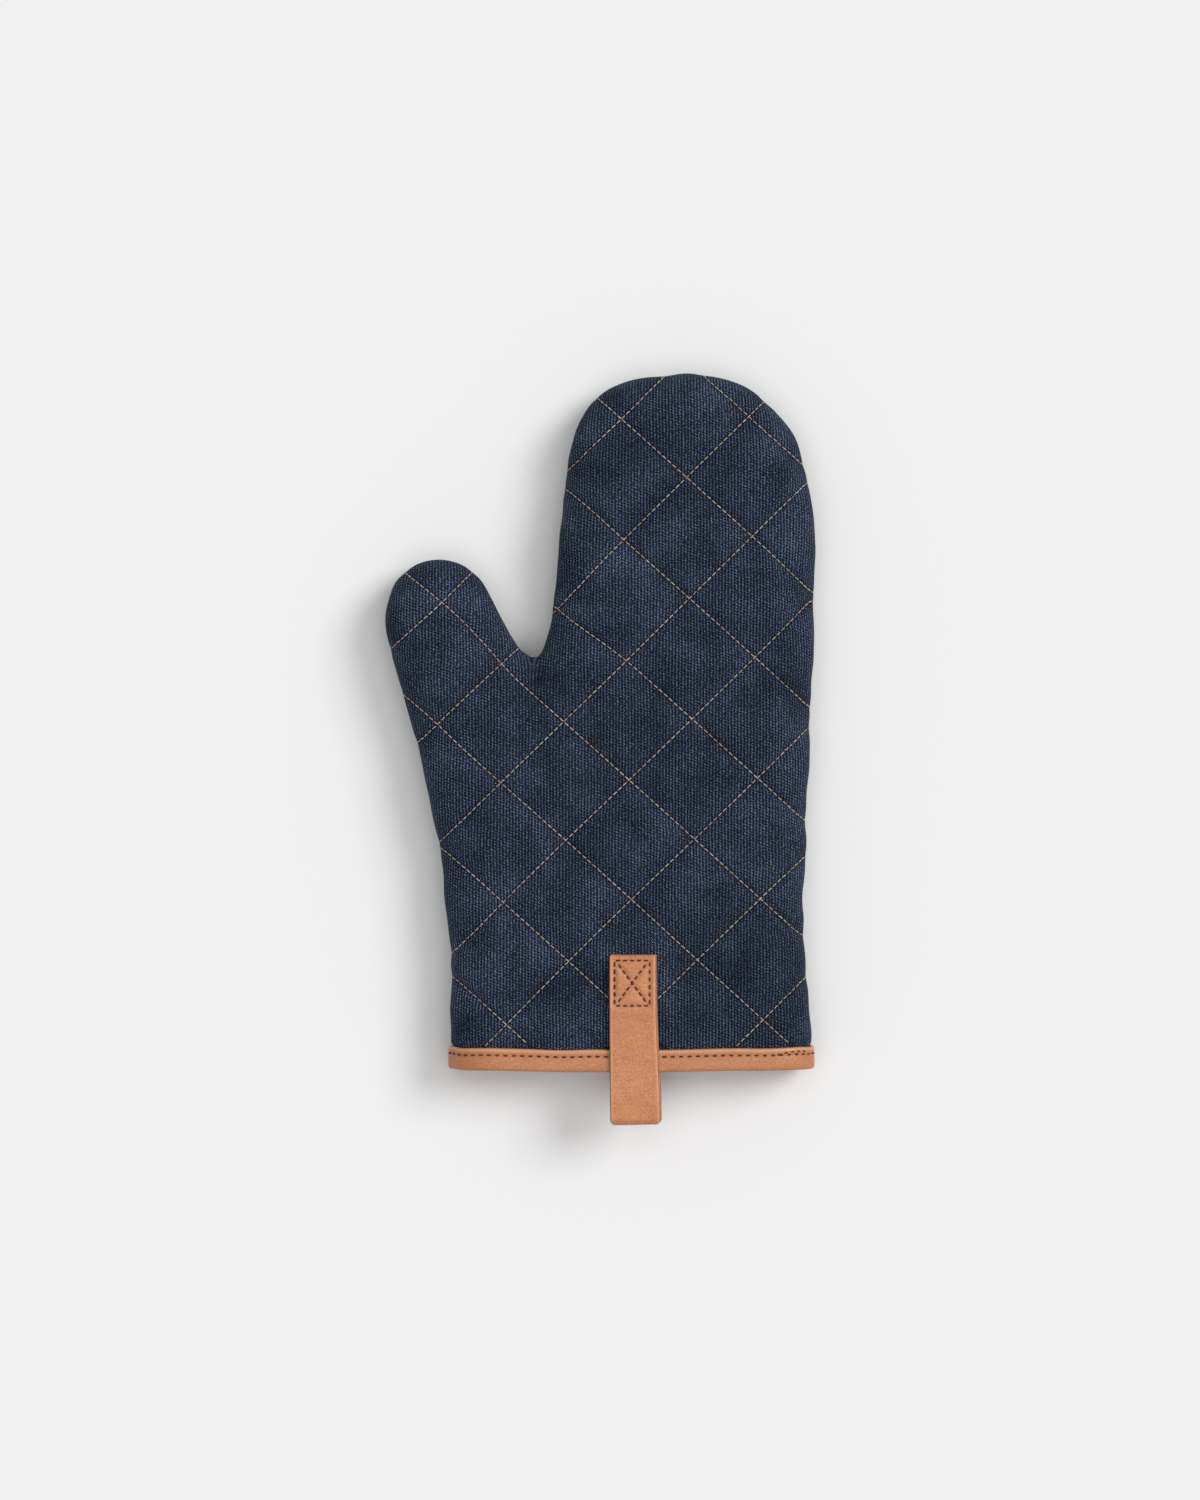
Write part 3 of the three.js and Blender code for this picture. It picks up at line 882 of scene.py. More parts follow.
class ClothMap:
    """Finds the place and normal on a padded surface from a place on the flat pattern."""

    def __init__(self, flat, faces, surface):
        self.triangles = []
        for face in faces:
            for k in range(1, len(face) - 1):
                self.triangles.append((face[0], face[k], face[k + 1]))
        self.flat = np.column_stack([flat, np.zeros(len(flat))])
        self.surface = surface
        self.normals = point_normals(surface, faces)
        self.tree = BVHTree.FromPolygons([tuple(p) for p in self.flat], self.triangles)

    def at(self, point):
        """The surface point and normal over a pattern point, or None outside the pattern."""
        hit = self.tree.ray_cast(Vector((point[0], point[1], 5.0)), Vector((0, 0, -1)))
        if hit[0] is None:
            return None
        a, b, c = self.triangles[hit[2]]
        pa, pb, pc = self.flat[a][:2], self.flat[b][:2], self.flat[c][:2]
        area = cross_2d(pb - pa, pc - pa)
        if abs(area) < 1e-9:
            return self.surface[a], self.normals[a]
        wb = cross_2d(point - pa, pc - pa) / area
        wc = cross_2d(pb - pa, point - pa) / area
        weights = np.array([1 - wb - wc, wb, wc])
        corners = [a, b, c]
        normal = weights @ self.normals[corners]
        return weights @ self.surface[corners], normal / np.linalg.norm(normal)


def dashes(route, pitch, dash, sink=0.0):
    """Split a route of (place, normal) into evenly spaced stitches."""
    places = np.array([p for p, _ in route])
    normals = np.array([n for _, n in route])
    lengths = np.r_[0, np.cumsum(np.linalg.norm(np.diff(places, axis=0), axis=1))]
    count = int(lengths[-1] / pitch)
    stitches = []
    for k in range(count):
        low = (k + 0.5) * pitch - dash / 2
        ends = []
        for at in (low, low + dash):
            ends.append(np.array([np.interp(at, lengths, places[:, c]) for c in range(3)]))
        middle = np.interp(low + dash / 2, lengths, np.arange(len(lengths)))
        up = normals[int(round(middle))]
        stitches.append((ends[0] - up * sink, ends[1] - up * sink, up))
    return stitches


ROUTE_STEP = 0.25
# A route with fewer steps than this only grazes the edge of the cloth.
SHORTEST_ROUTE = 16


def quilting_routes(cloth):
    """The quilting lines as routes on a padded surface, from one edge of the cloth to the other."""
    routes = []
    steps = np.arange(-LINE_REACH, LINE_REACH, ROUTE_STEP)
    for family in (0, 1):
        for number in range(-QUILT_LINES, QUILT_LINES + 1):
            point, along = quilt_line(family, number)
            line = point + steps[:, None] * along
            line += wander(line)
            distance, _ = seam_distance(line)
            usable = inside_polygon(line, FINE_SEAM) & (distance > 0.12)
            usable &= line[:, 1] > BINDING_TOP_Y + 0.4
            route = []
            for place, use in zip(line, usable):
                found = cloth.at(place) if use else None
                if found is not None:
                    route.append(found)
                elif route:
                    routes.append(route)
                    route = []
            routes.append(route)
    return [route for route in routes if len(route) > SHORTEST_ROUTE]


def under_strap(place):
    """True where the strap hides a stitch of the front panel."""
    return TAB_LOW[0] + 0.5 < place[0] < TAB_HIGH[0] - 0.5 and place[1] < TAB_HIGH[1] - 1.0


def add_sewing(name, stitches, thumb, radius, material, nodes):
    """Stitches as a hand piece and a thumb piece; nodes holds the solids of each."""
    for zone in ZONES:
        chosen = [s for s, t in zip(stitches, thumb) if t == (zone == "thumb")]
        piece = thread_piece(name.format(zone), chosen, radius, material)
        attach(piece, zone, nodes[zone])


def add_quilting(side, cloth, lining, material):
    """Every quilting stitch of a panel, outside and on the lining."""
    stitches = []
    for route in quilting_routes(cloth):
        stitches += dashes(route, STITCH_PITCH, STITCH_DASH, STITCH_SINK)
    for route in quilting_routes(lining):
        turned = [(place, -normal) for place, normal in route]
        stitches += dashes(turned, STITCH_PITCH, STITCH_DASH, -LINING.thickness + STITCH_SINK)
    if side > 0:
        stitches = [s for s in stitches if not under_strap((s[0] + s[1]) / 2) or s[2][2] < 0]
    middles = np.array([((a + b) / 2)[:2] for a, b, _ in stitches])
    thumb = on_thumb(middles - THUMB_OUT * THREAD_RADIUS * 2)
    nodes = {zone: zone_nodes(side, zone, "quilting_thread") for zone in ZONES}
    name = PANEL_NAMES[side] + "_{}_quilting_stitches"
    add_sewing(name, stitches, thumb, THREAD_RADIUS, material, nodes)


SEAM_NODES = {
    "hand": ("seam_thread_fingers", "seam_thread_thumb_side", "seam_thread_crotch",
             "seam_thread_little_finger_side"),
    "thumb": ("seam_thread_thumb",),
}


def add_seam_stitches(material):
    """The thread across the groove where the two panels are joined."""
    line = make_seam(SEAM_PITCH)
    stitches = []
    for place, normal in zip(line, inward_normals(line)):
        if place[1] < BINDING_TOP_Y + 1:
            continue
        flat = place + normal * (SEAM_TUCK - 0.1)
        low = np.array([*flat, SEAM_Z - SEAM_DASH / 2])
        high = np.array([*flat, SEAM_Z + SEAM_DASH / 2])
        stitches.append((low, high, np.array([*-normal, 0.0])))
    thumb = on_thumb(np.array([low[:2] for low, _, _ in stitches]))
    name = "{}_seam_stitches"
    add_sewing(name, stitches, thumb, SEAM_THREAD_RADIUS, material, SEAM_NODES)


# ---- Leather binding ----

# The folded strip in section: distance out from the cloth's own surface, and up from the mouth.
BINDING_SECTION = (
    (-1.1, 9.3), (-0.35, 9.42), (0.08, 9.2), (0.26, 8.6), (0.3, 7.4), (0.18, 6.75), (0.02, 6.3),
    (0.18, 5.85), (0.36, 5.1), (0.44, 3.8), (0.46, 2.2), (0.4, 0.9), (0.12, 0.1), (-0.5, -0.25),
    (-2.0, -0.4), (-4.2, -0.35), (-5.7, 0.0), (-6.7, 0.6), (-7.1, 1.6), (-7.15, 3.6), (-7.1, 6.4),
    (-7.0, 8.2), (-6.6, 8.7), (-6.0, 8.4), (-5.8, 6.4), (-5.85, 3.0), (-5.4, 1.7), (-4.2, 1.2),
    (-2.4, 1.15), (-1.4, 1.6), (-1.15, 3.0), (-1.1, 6.0),
)
BINDING_STITCH_UP = 6.3
BINDING_STATIONS = 440
BINDING_PROUD = 0.9
BINDING_WAVER = Waves(34, 31)
MOUTH_BOW = 0.8
# The rows of topstitch: how far out from the cloth, and which way their stitches face.
TOPSTITCH_ROWS = ((0.12, 1), (-7.05, -1))
# The stretch across the front where the end of the topstitch is sewn over its start.
BACK_TACK = (75, 90)


def mouth_ring(count):
    """The cuff's closed outline from its left end: points (x, z) and their outward normals."""
    ring_y = (BINDING_TOP_Y + MOUTH_Y) / 2
    line = FINE_SEAM[np.abs(FINE_SEAM[:, 1] - ring_y) < 3]
    left = line[line[:, 0] < 0, 0].mean() - BINDING_PROUD
    right = line[line[:, 0] > 0, 0].mean() + BINDING_PROUD
    across = (1 - np.cos(np.linspace(0, math.pi, 400))) / 2 * (right - left) + left
    sides = []
    for side in (1, -1):
        reach, full = rounding_of(side)
        distance = np.minimum(across - left, right - across)
        height = rounding(distance, reach) * full
        height += DOME_RISE * smoothstep(18, 80, distance) if side > 0 else 0.0
        sides.append(np.column_stack([across, SEAM_Z + side * height]))
    loop = np.vstack([sides[0], sides[1][::-1][1:-1]])
    loop = even_steps(loop, 0.5, closed=True)
    for _ in range(30):
        loop = (np.roll(loop, 1, axis=0) + 2 * loop + np.roll(loop, -1, axis=0)) / 4
    length = np.linalg.norm(np.diff(loop, axis=0), axis=1).sum()
    loop = even_steps(loop, length / count, closed=True)
    tangent = np.roll(loop, -1, axis=0) - np.roll(loop, 1, axis=0)
    tangent /= np.linalg.norm(tangent, axis=1)[:, None]
    return loop, np.column_stack([-tangent[:, 1], tangent[:, 0]])


def mouth_bow(x, z):
    """How far the front of the mouth bows down from the straight."""
    return MOUTH_BOW * near(x, 8, 46) * smoothstep(SEAM_Z, CROWN_Z, z)


def back_tack(route):
    """The second row over the start of the topstitch, near the right end of the front."""
    low, high = BACK_TACK
    chosen = [(place, up) for place, up in route if low < place[0] < high and place[2] > SEAM_Z + 4]
    chosen.sort(key=lambda item: item[0][0])
    raised = []
    for place, up in chosen:
        rise = 1.3 * smoothstep(low, low + 8, place[0])
        raised.append((place + np.array([0.0, rise, 0.0]), up))
    return dashes(raised, BINDING_PITCH * 0.85, BINDING_DASH, 0.03)


def binding_y(x, z, up):
    """How far along the mitt a point of the binding lies; the leather isn't quite even."""
    uneven = 0.16 * BINDING_WAVER.at(x, z * 3)
    return MOUTH_Y + up + uneven * (0.4 + up / 14) - mouth_bow(x, z)


def binding_body(loop, outward, walk):
    """Points of the folded strip round the mouth, their places on the leather, its darker worn
    edge, a painted highlight below its fold and painted shade along its stitch line.
    """
    section = np.array(BINDING_SECTION)
    around = np.r_[0, np.cumsum(np.linalg.norm(np.diff(section, axis=0), axis=1))]
    stitch_count = round(walk * len(loop) / BINDING_PITCH)
    vertices, places, edges = [], [], []
    for index, ((x, z), normal) in enumerate(zip(loop, outward)):
        pull = 0.07 * math.cos(math.tau * index / len(loop) * stitch_count)
        for (out, up), run in zip(section, around):
            outside = out > -1
            reach = out + pull * outside * near(up, BINDING_STITCH_UP, 0.8)
            vertices.append((x + normal[0] * reach, binding_y(x, z, up), z + normal[1] * reach))
            places.append((index * walk, run, 0.0))
            # Painted shade along the topstitch line, where the thread pulls the leather in.
            stitch_shade = outside * near(up, BINDING_STITCH_UP, 0.7)
            # The second value is a painted highlight on the leather below its fold.
            edges.append((near(up, 9.5, 0.25), near(up, 8.7, 0.4), stitch_shade))
    return vertices, places, edges


def topstitch_route(loop, outward, reach, facing):
    """A closed row along the binding, as places and the way its stitches face."""
    route = []
    for (x, z), normal in zip(loop, outward):
        y = binding_y(x, z, BINDING_STITCH_UP)
        place = np.array([x + normal[0] * reach, y, z + normal[1] * reach])
        route.append((place, np.array([normal[0], 0, normal[1]]) * facing))
    return route + route[:1]


def add_binding(leather, thread):
    """The leather round the mouth and its topstitch, outside and inside."""
    loop, outward = mouth_ring(BINDING_STATIONS)
    walk = np.linalg.norm(loop[1] - loop[0])
    vertices, places, edges = binding_body(loop, outward, walk)
    faces = tube_faces(len(loop), len(BINDING_SECTION), closed=True)
    binding = new_object("cuff_binding_leather", vertices, faces, leather)
    store_vectors(binding, "cloth", places)
    store_vectors(binding, "edge", edges)
    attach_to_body(binding, "hand")
    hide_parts("cuff_binding")
    stitches = []
    for reach, facing in TOPSTITCH_ROWS:
        route = topstitch_route(loop, outward, reach, facing)
        stitches += dashes(route, BINDING_PITCH, BINDING_DASH, 0.05)
        if facing > 0:
            stitches += back_tack(route)
    add_leather_thread("binding_topstitch", stitches, thread, "binding_stitching")


def add_leather_thread(name, stitches, material, node):
    """A row of thick thread that stays with the hand."""
    piece = thread_piece(name, stitches, LEATHER_THREAD_RADIUS, material)
    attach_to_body(piece, "hand")
    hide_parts(node)


# ---- Leather loop ----

STRAP_THICKNESS = 1.6
STRAP_WIDTH = 21.6
STRAP_NARROWING = 1.5
STRAP_STEP = 0.8
STRAP_ROWS = 33
STRAP_CORNER = 0.5
STRAP_CUPPING = Waves(26, 41)
FOLD_RADIUS = 2.3
FOLD_CORNER = 1.2
BOX_CORNERS = (BOX_LOW[0], BOX_LOW[1] + 1.2, BOX_HIGH[0] - 1.4, BOX_HIGH[1] + 0.9)
CROSS_INSET = 1.4
# How deep the box stitches lie under the strap's face.
BOX_STITCH_SINK = 0.24


def box_stitch_lines():
    """The rectangle and the cross inside it, as lists of corners."""
    left, bottom, right, top = BOX_CORNERS
    rectangle = [(left, top), (right, top), (right, bottom), (left, bottom), (left, top)]
    low_x, high_x = left + CROSS_INSET, right - CROSS_INSET
    low_y, high_y = bottom + CROSS_INSET, top - CROSS_INSET
    return [rectangle, [(low_x, high_y), (high_x, low_y)], [(high_x, high_y), (low_x, low_y)]]


def distance_to_lines(points, lines):
    """Distance from each point to the nearest of some polylines."""
    nearest = np.full(len(points), 1e3)
    for line in lines:
        for start, end in zip(np.array(line), np.array(line)[1:]):
            run = end - start
            share = np.clip(((points - start) @ run) / (run @ run), 0, 1)
            gap = np.linalg.norm(points - start - share[:, None] * run, axis=1)
            nearest = np.minimum(nearest, gap)
    return nearest


def strap_route():
    """The strap's middle line in side view, from the upper raw end round the fold to the lower."""
    top = TAB_HIGH[2] - STRAP_THICKNESS / 2
    low = LOWER_TAB_Z + STRAP_THICKNESS / 2
    fold_y = LOOP_LOW[1] + 1.4 + FOLD_RADIUS + STRAP_THICKNESS / 2
    fold_z = LOOP_LOW[2] + FOLD_RADIUS + STRAP_THICKNESS / 2 + 1.2
    start, hinge = TAB_HIGH[1] + 0.6, BOX_LOW[1] - 0.4
    route = [
        (start, top), (start - 4, top), (hinge + 4, top), (hinge, top + 0.05),
        (hinge - 1.6, top - 0.05), (hinge - 5, top - 0.75), (hinge - 12, top - 1.35),
        (hinge - 26, top - 2.2), (fold_y + 8, fold_z + 3.2),
        (fold_y + 2, fold_z + FOLD_RADIUS + 0.25),
    ]
    for k in range(1, 8):
        turn = math.pi * k / 8
        route.append((fold_y - FOLD_RADIUS * math.sin(turn), fold_z + FOLD_RADIUS * math.cos(turn)))
    route += [
        (fold_y + 3, fold_z - FOLD_RADIUS + 0.2), (fold_y + 9, fold_z - 0.9),
        (hinge - 26, low - 3.2), (hinge - 14, low - 1.2), (hinge - 6, low - 0.15), (hinge, low),
        (start - 8, low), (start + 0.5, low),
    ]
    return even_steps(catmull_rom(route, 12), STRAP_STEP)


def strap_section():
    """The strap cut across: place from its middle, and height, out on one face and back below."""
    half = STRAP_WIDTH / 2
    face = []
    for u in np.linspace(-1, 1, STRAP_ROWS):
        across = math.copysign(abs(u) ** 0.85, u) * half
        inside = max(0.0, abs(across) - (half - STRAP_CORNER)) / STRAP_CORNER
        drop = STRAP_CORNER * (1 - math.sqrt(max(0.0, 1 - inside ** 2)))
        face.append((across, STRAP_THICKNESS / 2 - drop))
    return face + [(across, -height) for across, height in reversed(face)]


def strap_body(route, section, fold):
    """Points along the strap, their places on the leather, its darker worn edges and a painted
    highlight just inside them.
    """
    count = len(route)
    half = STRAP_WIDTH / 2
    tangent = np.gradient(route, axis=0)
    tangent /= np.linalg.norm(tangent, axis=1)[:, None]
    sideways = np.interp(
        np.arange(count), (0, fold * 0.45, fold, fold + 4, count - 1), (0, 0.0, 0.4, 1.0, 0.3))
    tip_y = route[:, 0].min()
    vertices, places, edges = [], [], []
    for index, ((y, z), (along_y, along_z)) in enumerate(zip(route, tangent)):
        to_end = min(index, count - 1 - index)
        slim = 1 - STRAP_NARROWING / STRAP_WIDTH * (1 - smoothstep(0.2, 1.0, to_end / fold))
        flat_end = 0.72 + 0.28 * smoothstep(0, 1, to_end / 1.5)
        turned = max(0.0, 1 - (y - tip_y) / FOLD_CORNER)
        narrow = FOLD_CORNER * (1 - math.sqrt(1 - turned ** 2))
        for place, height in section:
            across = place * slim * (1 - narrow / half)
            wave = 0.10 * STRAP_CUPPING.at(across, index * STRAP_STEP)
            lift = height * flat_end + wave
            x = TAB_LOW[0] + half * slim + sideways[index] + across
            vertices.append((x, y + along_z * lift, z - along_y * lift))
            places.append((across, index * STRAP_STEP, height))
            from_edge = half * slim - abs(across)
            burnish = near(from_edge, 0, 0.22) if height < STRAP_THICKNESS * 0.48 else 0.0
            # The second value is a painted highlight in a band just inside the strap's edge.
            edges.append((burnish, near(from_edge, 0.75, 0.4), 0.0))
    return np.array(vertices), places, np.array(edges)


def strap_faces(count, size):
    """The strap's long faces, and rows of quads over its two raw ends."""
    faces = tube_faces(count, size)
    for first, flip in ((0, True), ((count - 1) * size, False)):
        for k in range(STRAP_ROWS - 1):
            quad = (first + k, first + k + 1, first + size - 2 - k, first + size - 1 - k)
            faces.append(tuple(reversed(quad)) if flip else quad)
    return faces


def box_stitches(lines):
    """The stitches of the box and cross, spread evenly over each straight run."""
    stitches = []
    top = TAB_HIGH[2] - BOX_STITCH_SINK
    for line in lines:
        corners = np.array(line)
        for start, end in zip(corners, corners[1:]):
            run = np.linalg.norm(end - start)
            number = max(2, round(run / BOX_PITCH))
            half_dash = (end - start) / run * BOX_DASH / 2
            for k in range(number):
                centre = start + (end - start) * (k + 0.5) / number
                low = np.array([*(centre - half_dash), top])
                high = np.array([*(centre + half_dash), top])
                stitches.append((low, high, np.array([0.0, 0.0, 1.0])))
    return stitches


def add_strap(leather, thread):
    """The folded strap, pulled in by the box stitches that hold it, and those stitches."""
    route = strap_route()
    section = strap_section()
    fold = int(np.argmin(route[:, 0]))
    vertices, places, edges = strap_body(route, section, fold)
    lines = box_stitch_lines()
    gap = distance_to_lines(vertices[:, :2], lines)
    dip = 0.34 * near(gap, 0, 0.9) - 0.2 * near(gap, 2.2, 1.2)
    upper = np.arange(len(vertices)) // len(section) < fold * 0.6
    outer = np.array([height > 0 for _, height in section] * len(route))
    vertices[:, 2] -= np.where(upper & outer, dip, 0)
    # Painted shade along the box stitches, where they pull the leather in.
    edges[:, 2] = np.where(upper & outer, near(gap, 0, 0.85), 0)
    faces = strap_faces(len(route), len(section))
    strap = new_object("leather_loop", vertices, faces, leather)
    store_vectors(strap, "cloth", places)
    store_vectors(strap, "edge", edges)
    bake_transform(strap)
    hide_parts("hanging_loop", "loop_tab_upper", "loop_tab_lower")
    add_leather_thread("loop_box_topstitch", box_stitches(lines), thread, "loop_box_stitching")


# ---- Materials ----

def linear(red, green, blue):
    """A colour from 0-255 screen values."""
    def one(value):
        value /= 255
        return value / 12.92 if value <= 0.04045 else ((value + 0.055) / 1.055) ** 2.4
    return (one(red), one(green), one(blue), 1.0)


class Recipe:
    """Builds one node material, a node at a time."""

    def __init__(self, name):
        self.material = bpy.data.materials.new(name)
        self.material.use_nodes = True
        self.tree = self.material.node_tree
        self.shader = self.tree.nodes["Principled BSDF"]

    def feed(self, socket, value):
        if isinstance(value, bpy.types.NodeSocket):
            self.tree.links.new(value, socket)
        else:
            socket.default_value = value

    def attribute(self, name):
        node = self.tree.nodes.new("ShaderNodeAttribute")
        node.attribute_name = name
        return node.outputs["Vector"]

    def split(self, vector):
        node = self.tree.nodes.new("ShaderNodeSeparateXYZ")
        self.feed(node.inputs[0], vector)
        return node.outputs[0], node.outputs[1], node.outputs[2]

    def join(self, x, y, z=0.0):
        node = self.tree.nodes.new("ShaderNodeCombineXYZ")
        for socket, value in zip(node.inputs, (x, y, z)):
            self.feed(socket, value)
        return node.outputs[0]

    def math(self, operation, a, b=0.0, c=0.0):
        node = self.tree.nodes.new("ShaderNodeMath")
        node.operation = operation
        for socket, value in zip(node.inputs, (a, b, c)):
            self.feed(socket, value)
        return node.outputs[0]

    def scaled(self, value, factor, plus=0.0):
        return self.math("MULTIPLY_ADD", value, factor, plus)

    def wave(self, value, pitch, shift=0.0):
        """From 0 to 1 and back, once for each pitch."""
        turn = self.scaled(value, math.tau / pitch, shift)
        return self.scaled(self.math("COSINE", turn), 0.5, 0.5)

    def noise(self, vector, scale, detail=2.0, roughness=0.5):
        node = self.tree.nodes.new("ShaderNodeTexNoise")
        self.feed(node.inputs["Vector"], vector)
        node.inputs["Scale"].default_value = scale
        node.inputs["Detail"].default_value = detail
        node.inputs["Roughness"].default_value = roughness
        return node.outputs[0]

    def cells(self, vector, scale):
        node = self.tree.nodes.new("ShaderNodeTexVoronoi")
        self.feed(node.inputs["Vector"], vector)
        node.inputs["Scale"].default_value = scale
        return node.outputs["Distance"]

    def ramp(self, value, *stops):
        node = self.tree.nodes.new("ShaderNodeValToRGB")
        self.feed(node.inputs[0], value)
        elements = node.color_ramp.elements
        while len(elements) < len(stops):
            elements.new(0.5)
        for element, (place, colour) in zip(elements, stops):
            element.position = place
            element.color = colour
        return node.outputs[0]

    def mix(self, share, a, b, blend="MIX"):
        node = self.tree.nodes.new("ShaderNodeMix")
        node.data_type = "RGBA"
        node.blend_type = blend
        self.feed(node.inputs[0], share)
        self.feed(node.inputs[6], a)
        self.feed(node.inputs[7], b)
        return node.outputs[2]

    def range(self, value, low, high, to_low=0.0, to_high=1.0):
        node = self.tree.nodes.new("ShaderNodeMapRange")
        for socket, number in zip(node.inputs, (value, low, high, to_low, to_high)):
            self.feed(socket, number)
        return node.outputs[0]

    def bump(self, height, strength, depth):
        """Depth in millimetres."""
        node = self.tree.nodes.new("ShaderNodeBump")
        node.inputs["Strength"].default_value = strength
        node.inputs["Distance"].default_value = depth * MM
        self.feed(node.inputs["Height"], height)
        self.feed(self.shader.inputs["Normal"], node.outputs[0])

    def set(self, **values):
        """Set or link the shader's own inputs, and hand back the finished material."""
        for name, value in values.items():
            self.feed(self.shader.inputs[name.replace("_", " ")], value)
        return self.material


RIB_PITCH = 1.34
FLECK_PITCH = 1.3
LINING_PITCH = 0.9
PLY_PITCH = 0.42
THREAD_TWIST = 1.3


def quilting_groove_shade(recipe, pattern):
    """How much painted shade a quilting groove gets: 1 on a quilting line and 0 away from it."""
    x, y, _ = recipe.split(pattern)
    total = 0.0
    for family in (0, 1):
        along = QUILT_DIRECTIONS[family]
        across = (-along[1], along[0])
        spacing = abs(across[0] * QUILT_STEPS[family][0] + across[1] * QUILT_STEPS[family][1])
        origin = QUILT_CENTRE[0] * across[0] + QUILT_CENTRE[1] * across[1]
        offset = recipe.scaled(x, across[0], -origin)
        offset = recipe.scaled(y, across[1], offset)
        gap = recipe.math("PINGPONG", offset, spacing)
        gap = recipe.math("MINIMUM", gap, recipe.math("SUBTRACT", spacing, gap))
        line = recipe.range(gap, 0.25, 1.35, 1.0, 0.0)
        total = recipe.math("MAXIMUM", line, total)
    return total


def denim_material():
    """Ribbed canvas: painted shade in its quilting grooves and creases, darker patches, and paler
    where its edge is worn.
    """
    recipe = Recipe("indigo_canvas")
    cloth = recipe.attribute("cloth")
    pattern = recipe.attribute("pattern")
    u, v, _ = recipe.split(cloth)
    drift = recipe.scaled(recipe.noise(cloth, 0.04, 2.0), 1.2, u)
    rib = recipe.wave(drift, RIB_PITCH)
    number = recipe.math("FLOOR", recipe.math("DIVIDE", drift, RIB_PITCH))
    stagger = recipe.scaled(number, 2.4)
    pick = recipe.wave(v, FLECK_PITCH, stagger)
    yarn_place = recipe.join(recipe.scaled(u, 0.75), recipe.scaled(v, 0.16))
    yarn = recipe.noise(yarn_place, 1.6, 2.0)
    fleck_place = recipe.join(recipe.scaled(u, 1.1), recipe.scaled(v, 1.6))
    fleck = recipe.noise(fleck_place, 1.0, 1.0)
    cloud = recipe.noise(cloth, 0.055, 4.0, 0.6)
    weave = recipe.scaled(rib, recipe.range(pick, 0.0, 1.0, 0.15, 1.0))
    value = recipe.scaled(weave, 0.5)
    value = recipe.scaled(recipe.range(fleck, 0.34, 0.66), 0.36, value)
    value = recipe.scaled(recipe.range(yarn, 0.3, 0.7), 0.1, value)
    value = recipe.scaled(recipe.range(cloud, 0.32, 0.68), 0.15, value)
    colour = recipe.ramp(
        value,
        (0.0, linear(4, 6, 11)),
        (0.3, linear(16, 21, 33)),
        (0.58, linear(41, 51, 70)),
        (0.92, linear(118, 134, 160)),
    )
    groove = quilting_groove_shade(recipe, pattern)
    # Painted shade darkens the cover along its quilting grooves.
    colour = recipe.mix(recipe.scaled(groove, 0.55), colour, linear(7, 8, 12))
    # Painted shade in the creases below the crotch and by the right edge, and darker patches over
    # the cover.
    crease_shade_and_patches = recipe.split(recipe.attribute("crease_shade_and_patches"))[0]
    colour = recipe.mix(recipe.scaled(crease_shade_and_patches, 0.88), colour, linear(5, 6, 9))
    wear = recipe.range(recipe.split(pattern)[2], 0.5, 4.0, 0.22, 0.0)
    wear = recipe.scaled(wear, recipe.range(fleck, 0.35, 0.65))
    colour = recipe.mix(wear, colour, linear(70, 78, 94))
    height = recipe.scaled(weave, 0.7, recipe.scaled(fleck, 0.5))
    recipe.bump(height, 0.75, 0.3)
    return recipe.set(
        Base_Color=colour,
        Roughness=recipe.range(fleck, 0.2, 0.8, 0.96, 0.82),
        Sheen_Weight=0.03,
        Sheen_Roughness=0.5,
        Specular_IOR_Level=0.08,
    )


def lining_material():
    """Plain grey cotton, woven one over and one under."""
    recipe = Recipe("lining_cotton")
    cloth = recipe.attribute("cloth")
    u, v, _ = recipe.split(cloth)
    over = recipe.scaled(recipe.wave(u, LINING_PITCH), recipe.wave(v, LINING_PITCH))
    under = recipe.scaled(
        recipe.wave(u, LINING_PITCH, math.pi), recipe.wave(v, LINING_PITCH, math.pi))
    weave = recipe.math("ADD", over, under)
    soft = recipe.noise(cloth, 0.09, 4.0)
    value = recipe.scaled(soft, 0.6, recipe.scaled(weave, 0.4))
    colour = recipe.ramp(value, (0.15, linear(52, 54, 60)), (0.8, linear(86, 89, 97)))
    recipe.bump(weave, 0.6, 0.15)
    return recipe.set(
        Base_Color=colour,
        Roughness=recipe.range(soft, 0.2, 0.8, 0.95, 0.85),
        Sheen_Weight=0.1,
        Specular_IOR_Level=0.2,
    )


def wadding_material():
    """Loose, undyed cotton fibre."""
    recipe = Recipe("cotton_wadding")
    cloth = recipe.attribute("cloth")
    fibres = recipe.noise(cloth, 1.2, 6.0, 0.75)
    clumps = recipe.noise(cloth, 0.12, 3.0)
    value = recipe.scaled(fibres, 0.6, recipe.scaled(clumps, 0.4))
    colour = recipe.ramp(value, (0.2, linear(206, 199, 184)), (0.8, linear(240, 236, 226)))
    recipe.bump(fibres, 0.9, 0.5)
    return recipe.set(
        Base_Color=colour,
        Roughness=recipe.range(clumps, 0.2, 0.8, 1.0, 0.9),
        Sheen_Weight=0.3,
        Specular_IOR_Level=0.1,
    )


